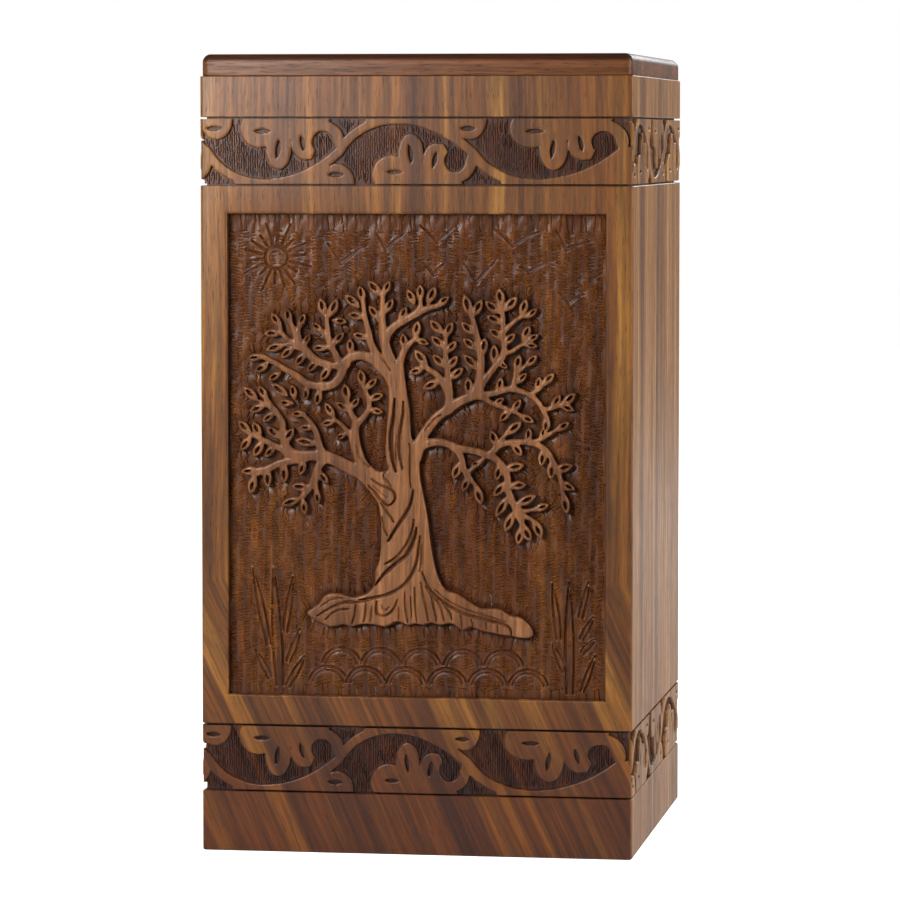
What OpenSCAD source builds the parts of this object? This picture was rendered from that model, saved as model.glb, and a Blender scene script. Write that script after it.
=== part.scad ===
// Carved wooden urn box: a tall square box of four mitred wall boards under
// a glued top board.  The front wall carries a sunk panel with a spreading
// tree in relief, and a leafy scroll runs round the front and both sides
// above and below it.  The ash chamber opens from below, where a base panel
// lies in a rebate and four countersunk screws hold it.
// Millimetres; origin at the middle of the footprint; the carved front faces -Y.

/* [Overall size] */
// Width and depth of the square box
box_w = 159; // [125:1:200]
// Height of the four walls, without the top board
wall_h = 284; // [235:1:345]

/* [Boards] */
// Thickness of the wall boards
wall_t = 12; // [10:0.5:16]
// Thickness of the top board
top_t = 8; // [6:0.5:14]
// How far the top board's edge stands in from the walls
top_inset = 0.5; // [0:0.1:2]
// Round along the top board's upper edge and at its corners
top_round = 3; // [1:0.5:5]
// Round on the four standing arrises of the walls
arris_r = 1.5; // [0.5:0.25:3]

/* [Carved bands and saw lines] */
// Height of the plain foot below the lower carved band
foot_h = 22.5; // [15:0.5:32]
// Height of each carved band
band_h = 24.2; // [18:0.2:30]
// Height of the plain strip above the upper carved band
cap_h = 15.2; // [10:0.2:24]
// How deep the ground of the bands is cut
band_depth = 1.6; // [0.8:0.1:3]
// Width of the sawn lines that border the bands
saw_w = 0.7; // [0.4:0.1:1.5]
// Depth of the sawn lines
saw_depth = 2.2; // [1:0.1:3.5]

/* [Sunk panel] */
// Plain wood left on each side of the panel
frame_side = 10; // [7:0.5:18]
// Plain wood left below the panel
frame_low = 11.3; // [7:0.1:20]
// Plain wood left above the panel
frame_high = 10.6; // [7:0.1:20]
// Depth of the panel's ground
panel_depth = 4; // [2.5:0.1:5.5]
// How far the top of the tree lies below the frame
tree_drop = 0.8; // [0.2:0.1:2]
// Length of one leaf
leaf_l = 7; // [4:0.1:9]
// Width of one leaf
leaf_w = 3.3; // [2:0.1:4.2]
// Spacing of the leaves along a twig
leaf_pitch = 6; // [4.5:0.1:8]

/* [Base panel] */
// Thickness of the base panel
base_t = 6; // [4:0.5:9]
// Width of the rebate that the base panel lies in
rebate_w = 7; // [5.5:0.25:8]
// How far the base panel lies above the box's underside
base_rise = 0.5; // [0.2:0.1:2]
// Gap between the base panel's edge and the rebate
base_gap = 0.25; // [0.1:0.05:0.6]
// Diameter of a base screw's shank
screw_d = 2.8; // [2:0.1:3.4]
// Diameter of a base screw's head
screw_head_d = 5.6; // [4:0.1:6.4]
// Length of a base screw
screw_l = 20; // [14:1:30]
// Distance of the base screws from the box's corners
screw_in = 30; // [22:1:45]

/* [Hidden] */
over = 1;              // how far a cutter reaches past the face that it cuts
chamber_w = box_w - 2 * wall_t;
rebate_h = base_t + base_rise;
screw_off = box_w / 2 - wall_t + rebate_w / 2;   // screws stand in the middle of the ledge
screw_clear = 0.2;     // room round a screw in the base panel
low_band_z = foot_h;
high_band_z = wall_h - cap_h - band_h;
saw_z = [low_band_z, low_band_z + band_h, high_band_z, high_band_z + band_h];
panel_w = box_w - 2 * frame_side;
panel_z = low_band_z + band_h + frame_low;
panel_h = high_band_z - frame_high - panel_z;

// The tree is drawn on a panel of this size and scaled to the real one.
drawn_w = 139;
drawn_h = 176;
tree_scale = min(panel_w / drawn_w, panel_h / drawn_h);

// One row per stroke of the tree: root, bend and tip of its curve, its width
// at the root and at the tip, how many leaves grow on its left and right, and
// how many at its tip.  x from the panel's middle, y from its sill.
TRUNK = [
    [[-5, 38], [-5, 70], [-6.5, 92], 21, 11, 0, 0, 0],
    [[-6.5, 88], [-6.5, 102], [-7.5, 118], 11.5, 6, 0, 0, 0],
    [[-10, 42], [-17, 35], [-31, 35.5], 9, 4.6, 0, 0, 0],
    [[-29, 35.7], [-35, 34.5], [-41, 30], 5, 0.8, 0, 0, 0],
    [[-8, 40], [-16, 33], [-35, 29], 10, 2.4, 0, 0, 0],
    [[-8, 38], [-14, 33], [-29, 26], 12, 3, 0, 0, 0],
    [[-6, 40], [-9, 32], [-13, 27], 12, 5, 0, 0, 0],
    [[-2, 40], [-1, 33], [0, 28], 14, 6, 0, 0, 0],
    [[2, 42], [6, 34], [9, 28.5], 12, 4, 0, 0, 0],
    [[3, 44], [8, 36], [18, 27], 12, 5, 0, 0, 0],
    [[3, 46], [10, 34], [31, 29.5], 10, 6, 0, 0, 0],
    [[28, 29.5], [38, 28], [41.5, 23], 7, 2.4, 0, 0, 0],
    [[12, 33], [22, 28], [35, 24], 8, 3.4, 0, 0, 0]
];
LEFT_LIMBS = [
    [[-8, 68], [-15, 77], [-22, 83], 9, 5.5, 0, 0, 0],
    [[-21, 81], [-23.5, 92], [-22.5, 101], 4.6, 2.4, 0, 0, 0],
    [[-22.5, 99], [-23.2, 104], [-25, 107.5], 2.2, 1.3, 1, 1, 1],
    [[-22, 99.5], [-17, 103], [-19.5, 112], 2.4, 1.3, 0, 3, 1],
    [[-24, 94.5], [-29, 98], [-31.5, 102.5], 2.2, 1.3, 2, 0, 1],
    [[-20, 82], [-27, 86], [-35, 87], 6, 4.4, 0, 0, 0],
    [[-33, 87], [-37.5, 101], [-46, 109], 3.6, 1.4, 5, 0, 1],
    [[-34, 87], [-42, 87], [-49.5, 91.5], 4.4, 3.2, 0, 0, 0],
    [[-49.5, 90], [-48, 100.5], [-56, 107.5], 3.2, 1.4, 3, 1, 2],
    [[-49, 91], [-55, 92], [-61.5, 97], 2.8, 1.4, 2, 2, 1],
    [[-36, 86.5], [-48, 87], [-60, 82.5], 4.2, 2.4, 4, 0, 1],
    [[-34.5, 86], [-38.5, 80], [-41.6, 70], 4.2, 1.8, 2, 2, 1]
];
CROWN_LIMBS = [
    [[-8.5, 108], [-13, 120], [-18.5, 124], 6, 4, 0, 0, 0],
    [[-17, 123.5], [-26.5, 124], [-30, 115], 4, 3.4, 0, 1, 0],
    [[-29.5, 116], [-34, 109.5], [-44, 117], 3.6, 2.8, 2, 0, 0],
    [[-43, 116.5], [-52, 123], [-60.5, 123], 2.9, 1.7, 2, 0, 0],
    [[-24, 121.5], [-34, 119.5], [-41, 125], 3.4, 2.2, 3, 0, 0],
    [[-40, 124.5], [-45.5, 127], [-50.2, 133.5], 2.3, 1.4, 2, 0, 1],
    [[-43, 126], [-44.7, 128.5], [-45.4, 132], 1.8, 1.4, 0, 1, 2],
    [[-27, 122.8], [-32.5, 127], [-33.3, 136], 2.6, 1.6, 2, 2, 2],
    [[-16.5, 122.5], [-17.5, 133], [-20, 143], 3.4, 1.5, 3, 0, 1],
    [[-8, 112], [-10.5, 128], [-13.4, 144.5], 5, 2, 1, 1, 2],
    [[-10.5, 131], [-5, 140], [8, 142.5], 3, 1.8, 3, 0, 1],
    [[-6.5, 114], [-6.5, 124], [-1.6, 130.5], 3.6, 1.5, 1, 1, 1]
];
RIGHT_LIMBS = [
    [[-2.5, 86], [0.5, 101.5], [12, 106.5], 6.5, 4, 0, 0, 0],
    [[11, 105], [12.3, 120], [9.8, 130.5], 3.8, 1.5, 2, 3, 2],
    [[11.8, 110], [8, 118], [1.4, 121], 3, 1.4, 1, 1, 1],
    [[10, 105], [18, 109], [24, 118], 4.2, 3.4, 1, 0, 0],
    [[23, 116], [24.5, 127], [20.3, 139], 3.2, 1.5, 3, 1, 2],
    [[24, 115], [31, 121], [32.3, 128], 3.2, 2.1, 0, 0, 0],
    [[32.3, 126], [32.7, 134], [30.4, 143], 2.2, 1.4, 4, 1, 1],
    [[32, 132.5], [36, 137.5], [38.4, 141], 1.7, 1.3, 0, 1, 1],
    [[32, 125.5], [39, 129], [45.4, 134], 1.9, 1.3, 2, 2, 1],
    [[21, 113.5], [29, 108.5], [36.5, 113], 3.6, 2.6, 1, 0, 0],
    [[35, 112.5], [46.5, 112], [48.6, 101], 2.6, 1.4, 2, 1, 1],
    [[36, 112], [37, 115.5], [37.3, 119], 1.9, 1.3, 0, 1, 1],
    [[42.5, 111], [46.5, 114.5], [48.5, 119.5], 1.7, 1.3, 1, 1, 1],
    [[47, 106.5], [53, 106], [57, 109.5], 1.7, 1.3, 0, 1, 1]
];
DROOPING_LIMBS = [
    [[-1, 84], [2.5, 95.5], [10.5, 92], 4, 3.2, 0, 0, 0],
    [[9, 92.3], [16, 91.5], [17.4, 81], 3.2, 1.8, 0, 1, 1],
    [[16.5, 85], [19.5, 83], [21.8, 78], 1.8, 1.3, 0, 0, 1],
    [[9.5, 92.3], [20, 92.5], [30, 86.5], 3, 2.4, 0, 0, 0],
    [[29, 87.5], [34, 81], [37.8, 62.5], 2.6, 1.5, 3, 3, 1],
    [[35.2, 72.5], [38, 68], [43.5, 66.5], 1.7, 1.3, 1, 1, 1],
    [[22, 90.6], [32, 95.5], [46, 94.5], 2.6, 1.8, 2, 2, 1],
    [[41, 95], [51, 88], [53.6, 74.5], 2, 1.4, 1, 2, 1],
    [[44, 95.2], [52, 95.5], [57, 100], 1.7, 1.3, 1, 1, 1],
    [[24, 110], [31, 107.5], [37.5, 102.5], 2.4, 1.4, 1, 2, 1]
];
TREE = concat(TRUNK, LEFT_LIMBS, CROWN_LIMBS, RIGHT_LIMBS, DROOPING_LIMBS);
STEPS = 6;             // pieces in one stroke's curve
LEAF_ROOT = 0.6;       // how far a leaf at the tip reaches back into its twig
PAIR_TURN = 24;        // how far each leaf of a pair at the tip turns out
LEAF_TURN = 42;        // how far a side leaf turns away from its twig, degrees
LEAF_BULGE = [0.3, 0.6, 0.95, 0.95, 0.6, 0];   // half width along a leaf, as shares

// The scroll is drawn one half wave at a time, at these sizes.
wave_l = 48.75;
wave_h = 24.3;
vine_w = 3.4;
VINE = [[0, 0], [9, -15.5], [32, -15.5], [wave_l, 0]];
CURL = [42.6, 3.4];    // middle of the curl that opens the palmette
curl_in = 3.9;
curl_out = 8;
END_LOBE_SHIFT = 4;    // the lobe at the left end of a run stands clear of the corner
// Where the vine crosses the middle of its band; the run goes on past both ends.
LOW_RUN = [-127, -78, -28.5, 18.5, 75, 124];
HIGH_RUN = [-126, -77, -28, 20.5, 75.5, 124];

// ---- curves ---------------------------------------------------------------

function bow(a, b, c, t) = (1 - t) * (1 - t) * a + 2 * t * (1 - t) * b + t * t * c;
function bow_dir(a, b, c, t) = 2 * (1 - t) * (b - a) + 2 * t * (c - b);
function arc_cubic(p, t) = pow(1 - t, 3) * p[0] + 3 * t * pow(1 - t, 2) * p[1]
                         + 3 * t * t * (1 - t) * p[2] + pow(t, 3) * p[3];
function turned(v, angle) = [v[0] * cos(angle) - v[1] * sin(angle), v[0] * sin(angle) + v[1] * cos(angle)];
function unit(v) = v / norm(v);

// Outline of a line of points drawn with a width that runs from w0 to w1.
function ribbon(points, w0, w1) =
    let (n = len(points) - 1,
         side = [for (i = [0:n]) turned(unit(points[min(i + 1, n)] - points[max(i - 1, 0)]), 90)],
         half = [for (i = [0:n]) (w0 + (w1 - w0) * i / n) / 2])
    concat([for (i = [0:n]) points[i] + side[i] * half[i]],
           [for (i = [n:-1:0]) points[i] - side[i] * half[i]]);

module ellipse(centre, rx, ry) translate(centre) scale([rx, ry]) circle(1, $fn = 28);

// Lens-shaped cut with pointed ends.
module slit(centre, length, width, angle) {
    translate(centre) rotate(angle)
        polygon(concat([for (i = [0:6]) [length * (i / 6 - 0.5), width / 2 * sin(30 * i)]],
                       [for (i = [5:-1:1]) [length * (i / 6 - 0.5), -width / 2 * sin(30 * i)]]));
}

// ---- tree -----------------------------------------------------------------

module leaf(base, heading) {
    n = len(LEAF_BULGE) - 1;
    translate(base) rotate(heading)
        polygon(concat([for (i = [0:n]) [leaf_l * i / n, leaf_w / 2 * LEAF_BULGE[i]]],
                       [for (i = [n - 1:-1:0]) [leaf_l * i / n, -leaf_w / 2 * LEAF_BULGE[i]]]));
}

// One stroke with its leaves: they stand leaf_pitch apart, counted back from the tip.
module stroke(s) {
    long = norm(s[2] - s[0]);
    polygon(ribbon([for (i = [0:STEPS]) bow(s[0], s[1], s[2], i / STEPS)], s[3], s[4]));
    for (side = [0, 1])
        for (k = [0:1:s[5 + side] - 1]) {
            hand = 1 - 2 * side;
            t = max(0.06, 0.88 - (k + 0.5 * side) * leaf_pitch / long);
            d = unit(bow_dir(s[0], s[1], s[2], t));
            half = (s[3] + (s[4] - s[3]) * t) / 2;
            leaf(bow(s[0], s[1], s[2], t) + turned(d, 90 * hand) * half * 0.7,
                 atan2(d[1], d[0]) + hand * LEAF_TURN);
        }
    d = unit(bow_dir(s[0], s[1], s[2], 1));
    for (k = [0:1:s[7] - 1])
        leaf(s[2] - d * LEAF_ROOT, atan2(d[1], d[0]) + (2 * k + 1 - s[7]) * PAIR_TURN);
}

module tree() {
    for (s = TREE) stroke(s);
}

// ---- scroll ---------------------------------------------------------------

// One half wave: the vine sags to the lower edge, and a palmette hangs into it
// from the upper edge, with its curl at the right.
module half_wave(lobe_shift) {
    top = wave_h / 2 + over;
    vine = [for (i = [0:12]) arc_cubic(VINE, i / 12)];
    difference() {
        union() {
            polygon(ribbon(vine, vine_w, vine_w));
            polygon(concat([for (i = [3:11]) vine[i]], [[vine[11][0], -top], [vine[3][0] + 1, -top]]));
            ellipse([48.2 + lobe_shift, -11.6], 6, 7.3);
        }
        slit([47.4 + lobe_shift, -8.4], 5.8, 1.5, 0);
    }
    difference() {
        union() {
            polygon([[13, top], [46, top], [44, 8], [36, 4], [24, 4], [15, 6]]);
            ellipse([19.3, 8.3], 7, 7);
            ellipse([26.5, 1.6], 4.7, 8.3);
            ellipse([36, 2.6], 4.9, 5.7);
            ellipse(CURL, curl_out, curl_out);
        }
        ellipse(CURL, curl_in, curl_in);
        // the curl is open below, where the ground runs in from under the leaf
        polygon([CURL + [-1.2, 0], CURL + [curl_in, 0], CURL + [5, -3], CURL + [3.4, -curl_out - over],
                 CURL + [-9, -curl_out - over], CURL + [-4, -6]]);
        slit([20.5, 7.4], 5.6, 1.5, 0);
        slit([26.2, 0.9], 7, 1.5, 82);
        slit([35.2, 3], 5.8, 1.5, 102);
    }
}

// Scroll over a whole face; flip says which half waves arch instead of sag.
module scroll(run, flip) {
    for (i = [0:len(run) - 2])
        translate([run[i], 0])
            scale([(run[i + 1] - run[i]) / wave_l, (i + flip) % 2 == 0 ? -1 : 1])
                half_wave(i == 0 ? END_LOBE_SHIFT : 0);
}

// Ground of one band: what is cut away round the scroll.
module band_ground(z, run, flip) {
    translate([0, z + band_h / 2])
        offset(delta = -0.1) offset(delta = 0.1)
            difference() {
                square([box_w + 2 * over, band_h], center = true);
                scale([box_w / 159, band_h / wave_h]) scroll(run, flip);
            }
}

// ---- boards ---------------------------------------------------------------

// Cuts a flat shape into the front face, to the given depth.
module into_front(depth) {
    translate([0, depth - box_w / 2, 0]) rotate([90, 0, 0]) linear_extrude(depth + over) children();
}

// Plain wall board on the front side: mitred ends, rounded arrises, the
// rebate for the base panel along its foot, and the sawn lines.
module board() {
    difference() {
        linear_extrude(wall_h)
            offset(delta = 0)
                intersection() {
                    difference() {
                        offset(r = arris_r, $fn = 32) square(box_w - 2 * arris_r, center = true);
                        square(chamber_w, center = true);
                    }
                    polygon([[0, 0], [-box_w, -box_w], [box_w, -box_w]]);
                }
        translate([-box_w, -chamber_w / 2 - rebate_w, -over]) cube([2 * box_w, box_w, rebate_h + over]);
        for (z = saw_z)
            translate([-box_w, -box_w / 2 - over, z - saw_w / 2]) cube([2 * box_w, saw_depth + over, saw_w]);
    }
}

module carved_board(flip) {
    difference() {
        board();
        into_front(band_depth) band_ground(low_band_z, LOW_RUN, flip);
        into_front(band_depth) band_ground(high_band_z, HIGH_RUN, flip);
    }
}

module front_board() {
    color("sienna") difference() {
        carved_board(0);
        into_front(tree_drop) translate([-panel_w / 2, panel_z]) square([panel_w, panel_h]);
        into_front(panel_depth)
            offset(delta = -0.15) offset(delta = 0.15)
                difference() {
                    translate([-panel_w / 2, panel_z]) square([panel_w, panel_h]);
                    translate([0, panel_z]) scale(tree_scale) tree();
                }
    }
}

// Side board, drawn in the front's place: the base screws bite into its ledge.
module side_board() {
    color("saddlebrown") difference() {
        carved_board(1);
        for (side = [-1, 1]) screw_at(side) cylinder(h = screw_l, d = screw_d, $fn = 24);
    }
}

module back_board() color("sienna") rotate([0, 0, 180]) board();

module left_board() rotate([0, 0, -90]) side_board();

module right_board() rotate([0, 0, 90]) side_board();

// The top board hangs together from its four corners, each a turned post
// whose shoulder is the round of the upper edge.
module top_board() {
    reach = (box_w - 2 * top_inset) / 2 - top_round;
    shoulder = [for (a = [0:15:90]) [top_round * cos(a), top_t - top_round + top_round * sin(a)]];
    color("peru") translate([0, 0, wall_h]) hull()
        for (x = [-reach, reach], y = [-reach, reach])
            translate([x, y, 0]) rotate_extrude($fn = 32)
                polygon(concat([[0, 0], [top_round, 0]], shoulder));
}

// ---- base -----------------------------------------------------------------

// Puts a part on a screw's axis in the front's place, with z = 0 at the
// underside of the base panel.
module screw_at(side) translate([side * (box_w / 2 - screw_in), -screw_off, base_rise]) children();

// Head and shank of a countersunk wood screw, point up, as one turned outline.
// As a cutter it has room all round and starts a little below the head.
module screw_form(room, below) {
    head_r = screw_head_d / 2 + room;
    shank_r = screw_d / 2 + room;
    rotate_extrude($fn = 32)
        polygon([[0, -below], [head_r, -below], [head_r, 0], [shank_r, head_r - shank_r],
                 [shank_r, screw_l - screw_d], [0, screw_l]]);
}

module base_panel() {
    size = chamber_w + 2 * rebate_w - 2 * base_gap;
    color("burlywood") difference() {
        translate([-size / 2, -size / 2, base_rise]) cube([size, size, base_t]);
        for (turn = [-90, 90], side = [-1, 1])
            rotate([0, 0, turn]) screw_at(side) screw_form(screw_clear, over);
    }
}

module base_screw(turn, side) {
    slot_w = 0.9;
    slot_d = 1.1;
    sunk = screw_clear - 0.02;   // the head bears on its countersink with a hair of room
    color("goldenrod") rotate([0, 0, turn]) screw_at(side) translate([0, 0, sunk])
        difference() {
            screw_form(0, 0);
            for (a = [45, 135]) rotate([0, 0, a])
                translate([-screw_d / 2, -slot_w / 2, -over]) cube([screw_d, slot_w, slot_d + over]);
        }
}

front_board();
back_board();
left_board();
right_board();
top_board();
base_panel();
base_screw(-90, -1);  // base_screw_1
base_screw(-90, 1);  // base_screw_2
base_screw(90, -1);  // base_screw_3
base_screw(90, 1);  // base_screw_4
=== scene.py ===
# %% [markdown]
# # A carved rosewood urn box
#
# The box is a tall square tower of four mitred boards under a thick top board.  Its front
# has a sunk panel with a tree in low relief, and a leafy scroll runs round three sides.
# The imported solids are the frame: they give every size and place.  This lesson carves the
# fine relief as meshes and finishes the wood.

# %% Load the frame
import math

import bmesh
import bpy
import numpy as np
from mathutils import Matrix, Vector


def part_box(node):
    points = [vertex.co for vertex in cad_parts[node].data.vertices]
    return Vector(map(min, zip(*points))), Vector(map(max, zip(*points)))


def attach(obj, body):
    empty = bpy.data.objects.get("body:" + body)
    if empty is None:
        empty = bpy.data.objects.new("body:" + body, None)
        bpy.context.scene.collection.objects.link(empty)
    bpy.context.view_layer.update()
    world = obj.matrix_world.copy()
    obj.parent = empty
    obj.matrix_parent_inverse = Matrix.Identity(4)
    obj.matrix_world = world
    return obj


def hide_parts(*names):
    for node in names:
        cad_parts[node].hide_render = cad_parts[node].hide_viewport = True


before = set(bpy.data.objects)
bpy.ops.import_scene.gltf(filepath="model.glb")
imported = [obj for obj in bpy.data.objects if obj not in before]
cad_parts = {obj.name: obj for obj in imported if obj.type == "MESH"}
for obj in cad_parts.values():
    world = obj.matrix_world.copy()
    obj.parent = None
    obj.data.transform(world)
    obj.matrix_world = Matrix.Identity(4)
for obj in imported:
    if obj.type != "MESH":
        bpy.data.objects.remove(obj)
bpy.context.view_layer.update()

MM = 0.001
scene = bpy.context.scene
print("nodes", sorted(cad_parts))

# %% [markdown]
# ## The camera, the floor and the lights
#
# The camera stands well back with a long lens, a little to the right of the box and just
# under its top, so both the front and the right side show.  Floor and sky are white where the
# camera sees them, and dim where they only light the box, so the lamps shape the relief.

# %% Camera
CAMERA_PLACE = (0.26808, -1.70344, 0.26097)
CAMERA_TURN = 8.934      # degrees to the left of straight ahead
CAMERA_DIP = 3.911       # degrees below level
LENS = 181.62            # millimetres, on a 36 mm sensor

camera = bpy.data.objects.new("camera", bpy.data.cameras.new("camera"))
scene.collection.objects.link(camera)
camera.location = CAMERA_PLACE
camera.rotation_euler = (math.radians(90 - CAMERA_DIP), 0, math.radians(CAMERA_TURN))
camera.data.lens = LENS
camera.data.sensor_width = 36
camera.data.clip_start = 0.05
scene.camera = camera
scene.view_settings.view_transform = "Standard"
print("camera", camera.location)


# %% A short way to write shader nodes
def put(tree, kind, inputs=None, **settings):
    """Adds a node, sets its options, and links or sets its inputs."""
    made = tree.nodes.new(kind)
    for key, value in settings.items():
        setattr(made, key, value)
    for key, value in (inputs or {}).items():
        if isinstance(value, bpy.types.NodeSocket):
            tree.links.new(value, made.inputs[key])
        else:
            made.inputs[key].default_value = value
    return made


def sums(tree, operation, a, b=0.0, **settings):
    """A Math node's result."""
    return put(tree, "ShaderNodeMath", {0: a, 1: b}, operation=operation, **settings).outputs[0]


# %% Studio floor
FLOOR_HALF = 4.0
FLOOR_Z = -0.0001        # a hair under the box


def seen_white(tree, mirrored, lit):
    """White seen straight on, dimmer when mirrored in the lacquer, and dimmest as light on the box."""
    path = put(tree, "ShaderNodeLightPath").outputs
    glossy, seen = path["Is Glossy Ray"], path["Is Camera Ray"]
    soft = put(tree, "ShaderNodeMapRange", {"Value": glossy, "To Min": lit, "To Max": mirrored}).outputs[0]
    return put(tree, "ShaderNodeMapRange", {"Value": seen, "To Min": soft, "To Max": 1.0}).outputs[0]


def studio_floor():
    """A pale paper floor, a little under the box so the two never share a plane."""
    half = FLOOR_HALF
    corners = [(-half, -half), (half, -half), (half, half), (-half, half)]
    mesh = bpy.data.meshes.new("studio_floor")
    mesh.from_pydata([(x, y, FLOOR_Z) for x, y in corners], [], [(0, 1, 2, 3)])
    paint = bpy.data.materials.new("studio_paper")
    paint.use_nodes = True
    shader = paint.node_tree.nodes["Principled BSDF"]
    shader.inputs["Base Color"].default_value = (0.8, 0.8, 0.8, 1)
    shader.inputs["Roughness"].default_value = 0.9
    shader.inputs["Specular IOR Level"].default_value = 0.1
    shader.inputs["Emission Color"].default_value = (1, 1, 1, 1)
    paint.node_tree.links.new(seen_white(paint.node_tree, 0.2, 0.03), shader.inputs["Emission Strength"])
    mesh.materials.append(paint)
    floor = bpy.data.objects.new("studio_floor", mesh)
    scene.collection.objects.link(floor)


studio_floor()


# %% Softboxes
def softbox(name, place, target, size, power):
    """A rectangular lamp at place that faces target."""
    lamp = bpy.data.lights.new(name, "AREA")
    lamp.shape = "RECTANGLE"
    lamp.size, lamp.size_y = size
    lamp.energy = power
    made = bpy.data.objects.new(name, lamp)
    scene.collection.objects.link(made)
    made.location = place
    away = [a - b for a, b in zip(place, target)]
    dip = math.atan2(math.hypot(away[0], away[1]), away[2])
    made.rotation_euler = (dip, 0, math.atan2(away[0], -away[1]))
    return made


softbox("key", (-0.3, -0.62, 0.41), (-0.06, 0, 0.25), (0.28, 0.28), 4.6)
softbox("fill", (0.7, -1.9, 1.1), (0, 0, 0.14), (0.6, 0.6), 1.2)
softbox("rim", (1.0, -0.22, 0.5), (0.08, 0, 0.2), (0.35, 0.6), 8.0)
softbox("back", (0.6, 1.6, 0.8), (0.3, 0.9, 0), (0.8, 0.6), 12.0)

world = bpy.data.worlds.new("studio")
world.use_nodes = True
world.node_tree.nodes["Background"].inputs["Color"].default_value = (1, 1, 1, 1)
sky = world.node_tree.nodes["Background"]
world.node_tree.links.new(seen_white(world.node_tree, 0.14, 0.05), sky.inputs["Strength"])
scene.world = world

# %% [markdown]
# ## Measures
#
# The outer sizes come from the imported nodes.  The heights of the bands and of the panel
# are the construction's own values, in millimetres.

# %% Sizes from the frame
wall_low, wall_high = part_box("front_board")
top_low, top_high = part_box("top_board")
HALF_W = -wall_low.y / MM
WALL_H = wall_high.z / MM
WALL_T = (wall_high.y - wall_low.y) / MM
ARRIS_R = (HALF_W - wall_high.x / MM) / (1 - math.cos(math.radians(45)))
TOP_HALF = top_high.x / MM
TOP_T = (top_high.z - top_low.z) / MM
REBATE_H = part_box("base_panel")[1].z / MM
REBATE_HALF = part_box("base_panel")[1].x / MM + 0.25

FOOT_H = 22.5
BAND_H = 24.2
CAP_H = 15.2
BAND_DEPTH = 1.6
SAW_W = 0.7
SAW_DEPTH = 2.2
PANEL_HALF = HALF_W - 10
PANEL_Z = FOOT_H + BAND_H + 11.3
PANEL_H = WALL_H - CAP_H - BAND_H - 10.6 - PANEL_Z
PANEL_DEPTH = 4
TREE_DROP = 0.8
LOW_BAND = FOOT_H
HIGH_BAND = WALL_H - CAP_H - BAND_H
print("half width", round(HALF_W, 2), "wall", round(WALL_H, 2), "x", round(WALL_T, 2))
print("arris", round(ARRIS_R, 2))
print("panel", 2 * PANEL_HALF, "x", round(PANEL_H, 2), "from", round(PANEL_Z, 2))

# %% [markdown]
# ## From points to pieces
#
# Every piece is made with the box's own axes and stays at the origin.  Side pieces are
# carved in the front's place and their points are turned about the middle, so one function
# serves all four walls.


# %% Making a piece
FRONT, RIGHT, BACK, LEFT = 0, 90, 180, 270


def turned(points, degrees):
    """Points turned about the upright axis, from the front's place to another wall's."""
    points = np.asarray(points, float)
    c, s = round(math.cos(math.radians(degrees))), round(math.sin(math.radians(degrees)))
    x, y, z = points.T
    return np.stack([c * x - s * y, s * x + c * y, z], 1)


def make_piece(name, points, faces, material, replaces, slot, crease=30, wall=FRONT):
    """A mesh object from points in millimetres, tied to the body and to its CAD node."""
    mesh = bpy.data.meshes.new(name)
    mesh.from_pydata((turned(points, wall) * MM).tolist(), [], faces)
    mesh.shade_smooth()
    mesh.set_sharp_from_angle(angle=math.radians(crease))
    mesh.materials.append(material)
    piece = bpy.data.objects.new(name, mesh)
    scene.collection.objects.link(piece)
    return tie(piece, replaces)


def tie(piece, replaces):
    """Rides the body and stands for a CAD node, which it hides."""
    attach(piece, "root")
    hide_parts(replaces)
    print(piece.name, len(piece.data.polygons), "faces")
    return piece


# %% [markdown]
# ## The finish
#
# Rosewood is a brown wood with broad bands, fine dark streaks and short open pores, all
# running up the box.  One node group draws that figure from the object's own coordinates,
# and each board uses it with its own colours.  A second group measures how deep a point
# lies under the face, and the cut ground is darkened with it: painted shade in the
# recesses, together with the darker finish that gathers there.


# %% Node group: the figure of the wood
def group_tree(name, inputs, outputs):
    """A shader node group with named sockets, and its two end nodes."""
    tree = bpy.data.node_groups.new(name, "ShaderNodeTree")
    for label, kind, value in inputs:
        socket = tree.interface.new_socket(label, in_out="INPUT", socket_type=kind)
        if value is not None:
            socket.default_value = value
    for label, kind in outputs:
        tree.interface.new_socket(label, in_out="OUTPUT", socket_type=kind)
    return tree, tree.nodes.new("NodeGroupInput"), tree.nodes.new("NodeGroupOutput")


def stretched_noise(tree, across, along, up, scale, squeeze, detail=2.0, shift=0.0):
    """Noise drawn out along the grain: squeeze is how much slower it changes that way."""
    slow = sums(tree, "MULTIPLY", up, squeeze)
    slow = sums(tree, "ADD", slow, shift)
    place = put(tree, "ShaderNodeCombineXYZ", {"X": across, "Y": along, "Z": slow}).outputs[0]
    return put(tree, "ShaderNodeTexNoise", {"Vector": place, "Scale": scale, "Detail": detail,
                                            "Roughness": 0.6}).outputs["Fac"]


def ramp(tree, value, low, high, to_low=0.0, to_high=1.0):
    """Maps low..high to to_low..to_high, smoothly."""
    inputs = {"Value": value, "From Min": low, "From Max": high, "To Min": to_low, "To Max": to_high}
    return put(tree, "ShaderNodeMapRange", inputs, interpolation_type="SMOOTHSTEP").outputs[0]


def blended(tree, factor, a, b, how="MIX"):
    """Colour a and b mixed by factor."""
    return put(tree, "ShaderNodeMix", {0: factor, 6: a, 7: b}, data_type="RGBA", blend_type=how).outputs[2]


def grey(tree, value):
    """A value as a grey colour."""
    return put(tree, "ShaderNodeCombineColor", {0: value, 1: value, 2: value}).outputs[0]


LEAN_BELOW = 0.1         # metres above the foot


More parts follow.
